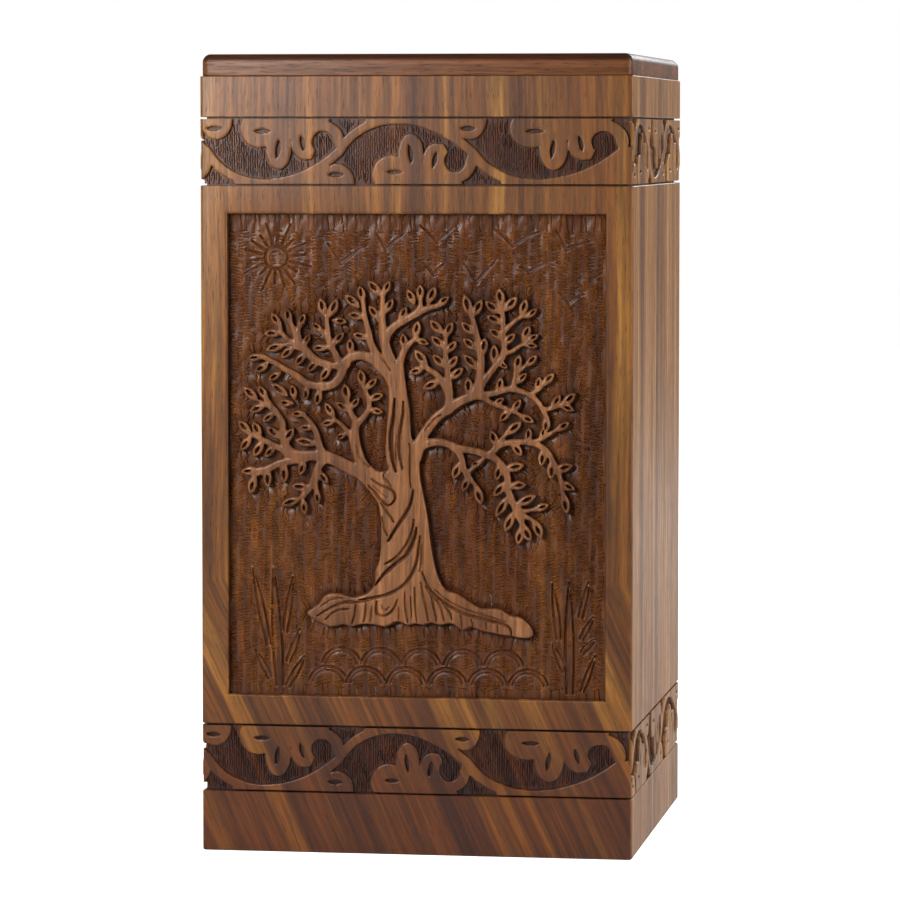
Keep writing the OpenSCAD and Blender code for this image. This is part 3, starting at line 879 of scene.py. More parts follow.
# %% Limbs
LIMBS = [   # points, width at the root, width at the tip
    # left crown: the great limb, and the boughs on it
    ([(-9, 116), (-14, 121.6), (-18, 124.2), (-22, 124.6), (-25.8, 122.6), (-28, 117), (-31, 113.9),
      (-35, 113.2)], 3.6, 3.2),
    ([(-35, 113.2), (-40.4, 114.3), (-44, 117), (-49, 119.8), (-53.5, 122.4), (-57.2, 124),
      (-60.4, 124)], 3.2, 1.3),
    ([(-25.5, 121.4), (-31, 120.9), (-37, 122.8), (-40.4, 126), (-43.6, 129)], 2.6, 3.2),
    ([(-43.6, 128), (-44.4, 132), (-46.6, 137)], 3.2, 1.7),
    ([(-43, 129), (-43.6, 132.5), (-43, 136)], 2.4, 1.4),
    ([(-43.5, 128), (-47.6, 130.6), (-49.8, 133), (-50.4, 136)], 2.2, 1.3),
    ([(-43, 128), (-46.5, 128.6), (-50, 128)], 2.0, 1.2),
    ([(-27.6, 121.5), (-30, 125.5), (-32, 130), (-32.7, 135), (-33, 139)], 2.6, 1.6),
    ([(-32, 130), (-33.6, 132.3), (-35.2, 134)], 1.7, 1.2),
    ([(-31, 128), (-33, 127.6), (-35, 127.4)], 1.8, 1.2),
    ([(-10.5, 118.5), (-14.5, 125), (-16.6, 129), (-17.4, 133), (-18.6, 138), (-19.5, 144)], 3.4, 1.5),
    ([(-7.5, 118), (-10.6, 126), (-12, 132.5), (-12.4, 139), (-12.2, 147)], 4.6, 1.6),
    ([(-12.4, 140), (-13, 138.5), (-13.6, 137.5)], 1.6, 1.2),
    ([(-11.2, 131), (-8.4, 135), (-4, 137.6), (0, 139.9), (4, 141.8), (8, 142.9), (10, 144)], 3.2, 1.6),
    ([(0, 140), (1.6, 142.6), (1.7, 145.5)], 2.2, 1.4),
    ([(-6.6, 118), (-5.8, 122.5), (-4.6, 126), (-2.8, 128.6), (-0.8, 130.4), (0.4, 131)], 3.2, 1.3),
    # left, low
    ([(-13, 78.5), (-18, 81), (-23, 83), (-28, 85.4), (-33, 87.6), (-37.5, 88), (-42.4, 88),
      (-47.4, 88.8)], 5.6, 3.4),
    ([(-47.4, 88.8), (-50.5, 90.6), (-54.6, 92.6), (-57.8, 93.9), (-61.6, 95.6)], 3.0, 1.3),
    ([(-46, 88.5), (-48.4, 92), (-49.4, 96.6), (-49.6, 100.3), (-52.4, 104.6), (-55.4, 108.5)], 3.4, 1.4),
    ([(-52.4, 104.4), (-55, 106), (-57.5, 107.6)], 1.8, 1.2),
    ([(-34.5, 87.5), (-36.2, 93), (-37.2, 97), (-39.4, 100.6), (-42, 103)], 3.0, 1.2),
    ([(-40, 87.5), (-44.2, 86.2), (-50, 85.2), (-54.6, 83), (-58, 82), (-61, 82.2)], 2.8, 2.8),
    ([(-57.5, 82.2), (-59.4, 81), (-60.2, 79)], 2.4, 1.4),
    ([(-33, 87), (-35.8, 84.4), (-37.6, 80), (-39.4, 76), (-42, 73)], 3.2, 2.2),
    ([(-36.8, 82), (-37.2, 78), (-36.9, 75)], 2.6, 1.4),
    ([(-15, 79.5), (-19.6, 84.4), (-21.8, 90), (-22.7, 96), (-22.4, 100.5), (-24, 103.6),
      (-25.3, 107.6)], 4.8, 1.4),
    ([(-22, 99.5), (-19.4, 102.2), (-17.4, 105.4), (-17.6, 109), (-19.2, 113)], 2.4, 1.4),
    ([(-22.6, 91), (-24.2, 95.6), (-27, 98.9), (-30.2, 101.4)], 2.4, 1.2),
    # right crown
    ([(-0.5, 90), (2.6, 95.6), (7, 101.6), (12, 105.6), (16.5, 108.4), (21, 110.6),
      (23.4, 114)], 3.6, 3.4),
    ([(11.8, 105), (12.2, 111), (11.8, 116), (11.4, 121), (10.8, 127), (11.1, 132)], 3.2, 1.3),
    ([(12, 111), (8.6, 117), (4.6, 119.8), (2.4, 121.6)], 2.8, 1.5),
    ([(22.6, 111), (23.4, 117), (24, 123), (23, 128), (22.6, 131), (21.4, 136), (20.4, 140)], 3.4, 1.6),
    ([(23, 113), (26, 117), (29, 121), (31.8, 124.4), (32.4, 128), (31.9, 132), (32, 138),
      (31.3, 143)], 2.6, 1.5),
    ([(32.2, 133.6), (35, 136.4), (38, 138.7), (41.4, 139.4)], 1.8, 1.2),
    ([(32.2, 126), (35, 126.4), (38, 128.4), (40.6, 129.6)], 1.8, 1.2),
    ([(22, 110.4), (27, 111), (31, 112), (34.6, 113), (38, 112.2), (42, 110.6), (45.4, 107.4),
      (47.9, 102.6)], 2.6, 1.5),
    ([(35.4, 113), (36.2, 116), (37, 120)], 2.2, 1.3),
    ([(36.8, 118.6), (39, 120.2), (41, 122)], 1.5, 1.1),
    ([(42, 110.8), (45, 113), (47.4, 115.4)], 1.7, 1.2),
    ([(47, 105.4), (50.4, 106.2), (54, 107.6)], 1.7, 1.2),
    ([(24, 110), (28, 107.6), (32, 106.2), (36, 104.6), (39, 103)], 2.0, 1.2),
    # right, drooping
    ([(0, 88), (2, 91.6), (6, 93.2), (10.4, 93), (14.4, 91.2), (16.8, 87.4), (17.6, 84),
      (19.4, 80.5)], 3.4, 1.8),
    ([(13.6, 91.4), (18, 90.8), (22.6, 89.9), (27.4, 88.4), (31, 85.8), (33.4, 81.4), (33.8, 76.4),
      (35.4, 72), (38.4, 66)],
     2.6, 2.4),
    ([(38.2, 66.6), (39, 64), (38.8, 62)], 2.4, 1.5),
    ([(18.4, 81.6), (20.4, 79.6), (22.2, 77)], 1.7, 1.2),
    ([(18.6, 82), (21.6, 84.6), (25, 87.6)], 1.6, 1.4),
    ([(37, 69.4), (40, 68.6), (44, 69.4)], 1.8, 1.2),
    ([(38.4, 67.2), (41.6, 66), (43.6, 64.6)], 1.8, 1.2),
    ([(27, 89), (31, 92.4), (36, 93.6), (42, 93.4), (47.4, 91), (50.4, 86.4), (52.8, 81),
      (54, 74)], 2.4, 1.5),
    ([(42, 93.4), (47, 95.4), (52, 98.6)], 1.7, 1.2),
    ([(28, 89.8), (30.6, 93.6), (33.6, 97)], 1.8, 1.3),
]

# %% Leaves
LEAVES = [   # stalk x and z, point x and z
    (-50.2, 135.2, -53.5, 139.9), (-46.8, 136.4, -47.7, 141.8), (-43.1, 135.2, -41, 139.8),
    (-50.2, 132.6, -56.2, 132.4), (-49, 128.5, -55.6, 126.2), (-45.4, 127.3, -49.9, 123.4),
    (-41, 125.4, -44.6, 120.7), (-36.3, 122.6, -40.3, 118.4), (-31.8, 120.4, -35.2, 115.4),
    (-41.4, 128.4, -39.1, 132.2), (-57, 124.2, -62.4, 123), (-55, 121.3, -59.8, 118.2),
    (-50.2, 118.2, -54.6, 115.2), (-40.4, 112.9, -40.9, 108), (-35.7, 111.8, -36.8, 106),
    (-34.7, 133.5, -38.5, 136.4), (-34, 139.3, -35.3, 145.6), (-31.8, 139, -28.9, 145.2),
    (-30.6, 137.4, -25.4, 136.8), (-30.4, 128.8, -26.6, 132.9), (-33, 127.5, -38.3, 127),
    (-24.2, 125.3, -24.3, 130.9), (-21, 142.2, -26.2, 146.8), (-19.6, 144.4, -20.7, 150.2),
    (-19.2, 138.7, -25.3, 139.6), (-17.8, 131.1, -23.4, 132.3), (-13.6, 138, -17.3, 142.8),
    (-10.9, 140.6, -8.5, 145.4), (-13, 146.8, -17.8, 151.8), (-11.8, 147.1, -9.6, 151.9),
    (-0.6, 143.6, -3.2, 148.9), (1.7, 145, 1.5, 150.6), (4.4, 143.8, 7.1, 149.8),
    (8.2, 143.2, 12.2, 146.3), (-6, 137.6, -3.4, 142.4), (-4.4, 127.4, -4.7, 132.9),
    (-0.3, 131.4, 0.8, 137.4), (0.4, 130.4, 4.9, 129), (-19.6, 113.6, -20.6, 119.7),
    (-18.2, 112.7, -14.4, 116.2), (-17.2, 108.6, -11.9, 110.6), (-16.8, 104.9, -12, 103.9),
    (-24, 105.4, -20.9, 109.2), (-25.3, 108, -26.4, 114.4), (-24.8, 104.3, -29.8, 107.5),
    (-30.4, 102.3, -33.6, 107.3), (-30, 100.6, -35.2, 99.3), (-25.8, 96.2, -29.8, 93.9),
    (-44.9, 108.6, -45.9, 114), (-47.6, 109.8, -53.8, 114.2), (-45.6, 107, -51, 107.2),
    (-55.4, 108.6, -58.3, 113.3), (-58.8, 108, -64, 113), (-56.2, 106, -61.7, 103.9),
    (-52.6, 103.5, -56.8, 100), (-41.2, 103.3, -46.4, 102.9), (-61.6, 95.8, -65.9, 100.6),
    (-57.8, 94.6, -60.3, 100.2), (-61.4, 94.4, -65, 89.4), (-56.8, 92.8, -60.3, 87.2),
    (-52.4, 91.2, -56, 87), (-50.4, 94.2, -55.4, 98.4), (-48.8, 92.6, -45.2, 98),
    (-36.8, 92.2, -45, 93.6), (-38.2, 98.2, -43.4, 98), (-41.5, 86, -42.9, 80.5),
    (-49, 84.6, -48.8, 77.6), (-55.2, 82.6, -54.8, 76), (-60, 80, -61.4, 73.5),
    (-59.4, 82.4, -65, 81.6), (-39.4, 76.2, -46.4, 76.7), (-43, 72.2, -50.2, 69.6),
    (-41.8, 71.6, -41.1, 66.2), (-36.9, 75, -36.2, 70), (-36.2, 82, -32.5, 77.8),
    (9.6, 133, 5.1, 137.7), (10.8, 131.8, 13.4, 137), (10.4, 127.7, 5.6, 131.9), (11.3, 126.2, 15, 130),
    (10.6, 120.8, 6.1, 125.2), (11.8, 120.2, 15.4, 124.7), (12.8, 116.6, 17.5, 120.4),
    (3.8, 121.2, -0.4, 126.9), (2.6, 120.2, -2.7, 118.1), (8.4, 115.6, 2.5, 112.6),
    (19.9, 139.4, 17.7, 147.2), (21.4, 139.6, 24.2, 145.2), (21.3, 132.8, 16.6, 137),
    (22, 127.2, 17.3, 131.2), (22.8, 120, 17.3, 125.4), (24.4, 125.2, 25.4, 131.5),
    (19.4, 110.4, 19.2, 117.2), (28.7, 121.8, 28.8, 129.2), (30.4, 122.6, 33.7, 120.3),
    (30.2, 111.8, 31.4, 117.2), (31.3, 142.6, 30.4, 149.5), (32.6, 141.4, 37.2, 146.3),
    (30.8, 140.4, 25.3, 144.7), (31.4, 136.8, 25.8, 139.4), (31.8, 131.2, 26.8, 134.7),
    (32.4, 129.2, 36.5, 133), (38.6, 139.6, 40.4, 145.5), (40.8, 139, 44.4, 142),
    (39.2, 130.6, 41.7, 136), (40, 129, 44.6, 128.3), (41, 130.4, 45, 132.7), (37, 119.4, 37.9, 125.4),
    (37.4, 115.2, 40.6, 118.8), (40.4, 121.4, 44.4, 125.2), (46.8, 114.8, 50.6, 118.6),
    (44.4, 112.4, 45.4, 117.4), (50, 106.2, 53, 110.9), (53.8, 107.4, 58.6, 111.6),
    (47.9, 102.6, 47.5, 96.9), (53, 107.2, 58, 105.2), (34.6, 105.2, 30.6, 101),
    (35.6, 105, 38.6, 109.2), (38.6, 103.2, 43.4, 100.8), (28.8, 107.2, 32.4, 109.6),
    (33.2, 96.6, 38.8, 101), (29.4, 92.2, 27.6, 98), (35.4, 93.2, 39, 88.6), (41, 93.6, 41.6, 99),
    (51.6, 98.2, 56.4, 101), (46, 94.8, 47.2, 99), (16.2, 85.8, 13.7, 79.8), (19.4, 80.6, 17.2, 75.4),
    (22, 77.4, 24.2, 70.6), (24, 86.4, 20.4, 85), (31, 85.4, 29.5, 79.4), (33, 78.8, 28.3, 73.7),
    (33.8, 73.6, 29.2, 66.2), (35.8, 68, 32.7, 60.8), (34.6, 77.6, 40.7, 78.2), (37, 70.8, 44.3, 74.4),
    (43.6, 69.2, 48.8, 71), (38.8, 62.4, 37.4, 56.2), (43.4, 65, 46.2, 58.8), (39.4, 63.4, 42.2, 57.4),
    (32.8, 83.8, 39.9, 85.3), (46.8, 90.8, 46, 84.8), (50, 86.8, 49.6, 80), (51.2, 83.6, 57.6, 85.4),
    (54, 74.6, 55.6, 67.6), (53.2, 79, 58.4, 76.4),
]
print("trunk points", len(TRUNK), "limbs", len(LIMBS), "leaves", len(LEAVES))

# %% The tree's distance field
TREE_STEP = 0.32
TRUNK_FILLET = 1.6
LIMB_FILLET = 1.0
LEAF_FILLET = 0.9
LEAF_WIDE = 0.52         # a leaf's width as a share of its length
LEAF_FULL = 6.6          # a longer leaf is no wider
LEAF_NECK = 0.6          # how far a leaf reaches back into its limb
HOLLOW_LONG, HOLLOW_WIDE = 0.56, 0.42
HOLLOW_PAST = 0.25       # the hollow sits a little nearer the leaf's point
HOLLOW_DEPTH = 2.0
HOLLOW_EDGE = 0.4        # width of the hollow's sloping wall
NEAR = 6.0               # distances are exact this far out, and no further


def bow(row, t):
    """Points on a stroke with one bend."""
    a, b, c = (np.array(p, float) for p in row[:3])
    t = np.asarray(t, float)[..., None]
    return (1 - t) ** 2 * a + 2 * t * (1 - t) * b + t * t * c


def flowing(points, steps=4):
    """A smooth line through all the points."""
    p = np.asarray(points, float)
    p = np.concatenate([[2 * p[0] - p[1]], p, [2 * p[-1] - p[-2]]])
    t = (np.arange(steps) / steps)[:, None]
    line = [0.5 * (2 * b + (c - a) * t + (2 * a - 5 * b + 4 * c - d) * t**2 + (3 * b - a - 3 * c + d) * t**3)
            for a, b, c, d in zip(p[:-3], p[1:-2], p[2:-1], p[3:])]
    return np.concatenate(line + [p[-2:-1]])


def near(xs, zs, points, reach):
    """The part of the lattice within reach of some points."""
    low, high = np.min(points, 0) - reach, np.max(points, 0) + reach
    return slice(*np.searchsorted(xs, (low[0], high[0]))), slice(*np.searchsorted(zs, (low[1], high[1])))


def tree_field(xs, zs):
    """Signed distance to the tree on a lattice, and the depth cut away in the leaves' hollows."""
    field = np.full((len(xs), len(zs)), NEAR)
    for points, root, tip in LIMBS:
        line = flowing(points)
        half = np.linspace(root, tip, len(line)) / 2
        part = near(xs, zs, line, NEAR + max(half))
        gap, radius = along(xs[part[0], None], zs[None, part[1]], line, half)
        field[part] = soft_union(field[part], np.minimum(gap - radius, NEAR), LIMB_FILLET)
    part = near(xs, zs, TRUNK, NEAR)
    outline = polygon(xs[part[0], None], zs[None, part[1]], flowing(TRUNK + TRUNK[:1], 3)[:-1])
    field[part] = soft_union(field[part], np.minimum(outline, NEAR), TRUNK_FILLET)
    hollow = np.zeros_like(field)
    for leaf in LEAVES:
        stalk, point = np.array(leaf[:2]), np.array(leaf[2:])
        length = math.dist(stalk, point)
        ahead = (point - stalk) / length
        turn = math.degrees(math.atan2(ahead[1], ahead[0]))
        wide = LEAF_WIDE * min(length, LEAF_FULL)
        middle = (stalk + point) / 2
        part = near(xs, zs, [middle], NEAR + length / 2)
        across, up = xs[part[0], None], zs[None, part[1]]
        gap = lens(across, up, middle - ahead * LEAF_NECK / 2, length + LEAF_NECK, wide, turn)
        field[part] = soft_union(field[part], np.minimum(gap, NEAR), LEAF_FILLET)
        pit = lens(across, up, middle + ahead * HOLLOW_PAST, length * HOLLOW_LONG, wide * HOLLOW_WIDE, turn)
        hollow[part] = np.maximum(hollow[part], HOLLOW_DEPTH * np.clip(-pit / HOLLOW_EDGE, 0, 1))
    return field, hollow


# %% [markdown]
# ## Flutes and folds
#
# The trunk twists: long flutes run up it, sweep across its waist and follow both roots out
# to the ground.  Under the roots the skirt falls in upright folds.

# %% Flutes
FLUTES = [   # points, width, depth
    ([(-7.8, 109), (-8.2, 102.4), (-9, 97), (-9.1, 91), (-8.3, 86), (-7.3, 82.4)], 2.0, 1.6),
    ([(-4.6, 108), (-4.6, 104), (-5.3, 99.7), (-6, 94), (-5.9, 88.6), (-4.8, 83.4)], 1.5, 1.4),
    ([(-6.6, 96), (-7.4, 91), (-7, 86)], 0.7, 0.6),
    ([(-2.4, 93), (-2, 90), (-2.1, 86), (-2.1, 80), (-1.6, 76.5)], 0.9, 1.0),
    ([(-0.9, 75.6), (-2, 70.4), (-3.8, 66.9), (-6, 63.6), (-8.2, 60.2), (-10.2, 57)], 1.8, 1.7),
    ([(-0.6, 65), (-1.4, 60.5), (-3.6, 55.6), (-7.4, 51), (-11.4, 48.6)], 1.4, 1.3),
    ([(0.3, 62), (-0.6, 57.6), (-3.4, 52.2), (-7.4, 48.8), (-11.7, 45), (-14.8, 41)], 1.9, 1.7),
    ([(1.6, 59), (1, 54), (0.2, 49), (-2, 44), (-6, 39.8), (-11, 37.3), (-16.4, 36.1),
      (-21, 35.2)], 1.6, 1.5),
    ([(2.2, 57), (2.2, 50), (1.4, 46)], 0.9, 0.8),
    ([(2.4, 45.6), (5.2, 39.8), (9.7, 35.5), (15.4, 32), (21.1, 29.9), (27.6, 28.4), (32.4, 27.2),
      (34.8, 25.6), (35.2, 22.6)],
     1.4, 1.3),
    ([(6.8, 39.8), (11, 36.2), (17, 33), (23, 31), (29, 29.4), (33.6, 28)], 0.8, 0.7),
    ([(-12.9, 70.8), (-10, 67), (-8, 64)], 1.2, 1.1),
    ([(-12.5, 66), (-11.7, 62), (-10.4, 59)], 1.1, 1.0),
    ([(-16.4, 79.8), (-13.2, 77.5), (-9.9, 76.3), (-7.9, 74.7), (-7.6, 72.4), (-8.8, 70.7),
      (-10.3, 69.9)], 1.2, 1.3),
    ([(-17.6, 77.4), (-14.9, 74.6), (-12.1, 71.2), (-9.9, 69.8)], 1.2, 1.3),
    ([(-16, 77.4), (-13, 74.8), (-10.4, 72.6)], 0.7, 0.5),
    ([(-9.9, 84.6), (-12, 80.6), (-10, 78.6), (-9.2, 77)], 0.9, 0.9),
    ([(-16, 35.6), (-21, 34.4), (-26, 34.4), (-31.7, 32.2), (-36.5, 29.2)], 1.2, 1.1),
    ([(-24.4, 32), (-29.4, 31.2), (-33.6, 28)], 1.0, 1.0),
    ([(-27, 36), (-31, 35.4), (-35.6, 32.6)], 0.8, 0.7),
    ([(-22.1, 33.4), (-22.6, 30), (-23.6, 26.6)], 1.1, 1.0),
    ([(-18.4, 34), (-18.6, 30.6), (-19.3, 27.2)], 1.1, 1.0),
    ([(-16.2, 33), (-16.4, 30), (-16.8, 27.6)], 0.9, 0.8),
    ([(-14.4, 35), (-14.6, 32), (-13.9, 30), (-11, 29.8), (-8.2, 32.2), (-6.6, 36)], 1.2, 1.2),
    ([(-12.6, 33.6), (-11.6, 31.6), (-9.6, 33)], 0.8, 0.8),
    ([(-6.4, 33), (-6.2, 30), (-6.4, 28)], 1.0, 1.0),
    ([(-4, 38.6), (-3.8, 33), (-3, 27.2)], 1.2, 1.1),
    ([(-1.8, 37), (-1.6, 33), (-1.4, 29)], 0.8, 0.7),
    ([(-0.3, 40.4), (-0.2, 34), (0.4, 27.4)], 1.2, 1.1),
    ([(1.9, 42), (3.3, 35.6), (4.6, 28)], 1.2, 1.1),
    ([(3.6, 40.8), (6, 36), (7.6, 28)], 1.1, 1.1),
    ([(6, 37.4), (9, 33.6), (10.4, 28)], 1.1, 1.0),
    ([(9.6, 34.6), (12.4, 31.6), (13.4, 28.4)], 1.1, 1.0),
    ([(16.4, 30.6), (17, 28.4), (17, 26)], 0.9, 0.8),
    ([(20.4, 29), (21, 27), (21.1, 25.4)], 0.9, 0.8),
    ([(25.6, 28), (26, 26.4), (26.2, 24.8)], 0.8, 0.7),
    ([(30, 27), (30.2, 25.6), (30.2, 24.4)], 0.8, 0.7),
    ([(-9.2, 119), (-12.4, 124), (-14.6, 128.6)], 0.9, 0.8),
    ([(-7.6, 122), (-8.6, 126), (-10, 130)], 0.8, 0.6),
    ([(-17, 83.6), (-20.4, 87), (-22, 92)], 0.8, 0.6),
    ([(3.4, 97.6), (6.6, 101.4), (9.4, 103.4)], 0.9, 0.8),
]


def groove(xs, zs, points, wide, deep):
    """Window on the lattice and the depth cut there by one flute, pointed at both ends."""
    line = flowing(points)
    share = np.linspace(0, 1, len(line))
    half = wide / 2 * np.sin(np.pi * (0.06 + 0.88 * share)) ** 0.5
    part = near(xs, zs, line, wide)
    gap, radius = along(xs[part[0], None], zs[None, part[1]], line, half)
    return part, deep * np.maximum(1 - (gap / radius) ** 2, 0)


# %% Carve the limbs
TREE_H = PANEL_DEPTH - TREE_DROP
SHOULDER = 0.9
EDGE_SHARE = 0.72        # how high the limb's edge stands, as a share of its full height
GROUND_SINK = 0.7        # how deep the tree's foot reaches under the ground
TREE_X, TREE_Z = (-69, 69), (18, 156)
SWELL, SWELL_WIDE = 0.3, 6   # thick limbs stand a little higher in their middle


def carve_tree():
    xs = np.arange(*TREE_X, TREE_STEP)
    zs = np.arange(*TREE_Z, TREE_STEP)
    field, cut = tree_field(xs, zs)
    for row in FLUTES:
        part, depth = groove(xs, zs, *row)
        cut[part] = np.maximum(cut[part], depth)
    flat, depth_in, tris = cut_sheet(xs, zs, field)
    i = np.clip(((flat[:, 0] - xs[0]) / TREE_STEP).round().astype(int), 0, len(xs) - 1)
    k = np.clip(((flat[:, 1] - zs[0]) / TREE_STEP).round().astype(int), 0, len(zs) - 1)
    rise = TREE_H * (EDGE_SHARE + (1 - EDGE_SHARE) * rolled(depth_in, SHOULDER))
    rise += SWELL * np.clip(depth_in / SWELL_WIDE, 0, 1)
    rise -= cut[i, k] * np.clip(depth_in / 0.5, 0.35, 1)
    sheet = np.stack([flat[:, 0], PANEL_DEPTH - HALF_W - rise, flat[:, 1] + PANEL_Z], 1)
    points, faces = filled_below(sheet, tris, PANEL_DEPTH + GROUND_SINK - HALF_W)
    return make_piece("carved_tree", points, faces, TREE_WOOD, "front_board", "rosewood_front", crease=55)


carve_tree()

# %% A tree of nodes that sets a pattern on points
def pattern_nodes():
    """Instances of a pattern on points; each point has an aim (Euler angles) and a size."""
    tree = bpy.data.node_groups.new("pattern_on_points", "GeometryNodeTree")
    for label, kind in (("Geometry", "NodeSocketGeometry"), ("Pattern", "NodeSocketObject"),
                        ("Turn Spread", "NodeSocketFloat"), ("Size Spread", "NodeSocketFloat"),
                        ("Seed", "NodeSocketInt"), ("Finish", "NodeSocketMaterial")):
        tree.interface.new_socket(label, in_out="INPUT", socket_type=kind)
    tree.interface.new_socket("Geometry", in_out="OUTPUT", socket_type="NodeSocketGeometry")
    start, end = tree.nodes.new("NodeGroupInput"), tree.nodes.new("NodeGroupOutput")
    dots = put(tree, "GeometryNodeMeshToPoints", {"Mesh": start.outputs["Geometry"]})
    stored = "GeometryNodeInputNamedAttribute"
    aim = put(tree, stored, {"Name": "aim"}, data_type="FLOAT_VECTOR").outputs[0]
    size = put(tree, stored, {"Name": "size"}, data_type="FLOAT_VECTOR").outputs[0]
    pattern = put(tree, "GeometryNodeObjectInfo", {"Object": start.outputs["Pattern"]})
    spread, size_spread, seed = (start.outputs[label] for label in ("Turn Spread", "Size Spread", "Seed"))
    back = put(tree, "ShaderNodeMath", {0: spread, 1: -1.0}, operation="MULTIPLY").outputs[0]
    chance = "FunctionNodeRandomValue"
    swing = put(tree, chance, {2: back, 3: spread, "Seed": seed}, data_type="FLOAT").outputs[1]
    swing = put(tree, "ShaderNodeCombineXYZ", {"Z": swing}).outputs[0]
    turn = put(tree, "FunctionNodeEulerToRotation", {0: aim}).outputs[0]
    swing = put(tree, "FunctionNodeEulerToRotation", {0: swing}).outputs[0]
    turn = put(tree, "FunctionNodeRotateRotation", {0: turn, 1: swing}, rotation_space="LOCAL").outputs[0]
    low = sums(tree, "SUBTRACT", 1.0, size_spread)
    high = sums(tree, "ADD", 1.0, size_spread)
    grow = put(tree, chance, {2: low, 3: high, "Seed": seed}, data_type="FLOAT").outputs[1]
    scale = put(tree, "ShaderNodeVectorMath", {0: size, "Scale": grow}, operation="SCALE").outputs[0]
    copies = put(tree, "GeometryNodeInstanceOnPoints",
                 {"Points": dots.outputs[0], "Instance": pattern.outputs["Geometry"],
                  "Rotation": turn, "Scale": scale})
    real = put(tree, "GeometryNodeRealizeInstances", {0: copies.outputs[0]})
    done = put(tree, "GeometryNodeSetMaterial",
               {"Geometry": real.outputs[0], "Material": start.outputs["Finish"]})
    tree.links.new(done.outputs[0], end.inputs[0])
    return tree


PATTERN = pattern_nodes()


def set_pattern(name, places, aims, sizes, pattern, finish, node, turn_spread, size_spread, seed):
    """Runs the nodes on a cloud of points and keeps the result as a plain mesh."""
    cloud = bpy.data.meshes.new(name + "_points")
    cloud.from_pydata((np.asarray(places) * MM).tolist(), [], [])
    for label, values in (("aim", aims), ("size", sizes)):
        stored = cloud.attributes.new(label, "FLOAT_VECTOR", "POINT")
        stored.data.foreach_set("vector", np.asarray(values, float).ravel())
    host = bpy.data.objects.new(name + "_points", cloud)
    scene.collection.objects.link(host)
    modifier = host.modifiers.new("pattern", "NODES")
    modifier.node_group = PATTERN
    sockets = {item.name: item.identifier for item in PATTERN.interface.items_tree if item.in_out == "INPUT"}
    for label, value in (("Pattern", pattern), ("Turn Spread", turn_spread), ("Size Spread", size_spread),
                         ("Seed", seed), ("Finish", finish)):
        modifier[sockets[label]] = value
    mesh = bpy.data.meshes.new_from_object(host.evaluated_get(bpy.context.evaluated_depsgraph_get()))
    mesh.name = name
    bpy.data.objects.remove(host)
    piece = bpy.data.objects.new(name, mesh)
    scene.collection.objects.link(piece)
    return tie(piece, node)


def aim_on_wall(angles, wall):
    """Euler angles that lay +X along an angle on the wall's face and point +Z out of it."""
    angles = np.asarray(angles, float)
    upright, faced = np.full_like(angles, math.pi / 2), np.full_like(angles, math.radians(wall))
    return np.stack([upright, -angles, faced], 1)


# %% [markdown]
# ## The ground of the panel
#
# The ground is not flat: it is pared down with a gouge, deepest beside the tree.  Sun,
# birds, reeds and the scalloped foreground are drawn in it with a veining tool, which
# throws up a small lip on each side of its cut.  A coarse lattice carries the ground, and
# only the cells that a drawn line crosses are divided by three.

# %% Lines drawn in the ground
# z runs from the panel's sill, as for the tree.
SUN = (-52, 160)
SUN_R = 4.2
RAYS = 18
BIRDS = [   # vertex, left tip, right tip
    [(-28, 158), (-33, 165.3), (-18.3, 164.7)],
    [(-11.3, 163), (-15, 168.7), (-5, 168.7)],
    [(7.7, 165.7), (1, 172), (15.3, 172.3)],
    [(6.3, 154), (-0.3, 160), (10, 158)],
    [(35.3, 164.7), (28.3, 170.7), (45, 169.7)],
    [(22, 151.3), (16.7, 158.7), (29.7, 159.7)],
    [(54.7, 163.3), (50.7, 170.7), (63.7, 166.3)],
    [(41.3, 155), (37.7, 157), (49.3, 159)],
    [(55.7, 144), (51.7, 148), (61.7, 147.3)],
]
REEDS = [   # foot, tip, width
    [(-51, 3), (-53.3, 46), 3.2], [(-55, 18), (-61, 46), 2.2], [(-54.7, 6), (-60, 16), 1.8],
    [(-49, 23), (-46, 43), 2.0], [(-47.7, 12), (-43.3, 24), 2.0], [(-48, 3), (-41.7, 14), 2.0],
    [(56.3, 2), (56, 43), 3.0], [(54.3, 10), (50, 20), 1.8], [(52.3, 22), (50, 42), 2.0],
    [(60.7, 22), (65, 30), 1.8], [(60.3, 30), (63.3, 43), 1.8], [(61, 17), (65.7, 22), 1.6],
    [(61, 3), (65.7, 16), 1.8],
]
SCALLOP_HALF = 7.4
SCALLOPS = [(x, 10.4) for x in (-28, -13.5, 1.5, 17, 32)] + [(x, 3.4) for x in (-33, -19, -4, 11, 26, 41)]


def from_sun(radius, turn):
    """A point round the sun's middle."""
    return SUN[0] + radius * math.cos(turn), SUN[1] + radius * math.sin(turn)


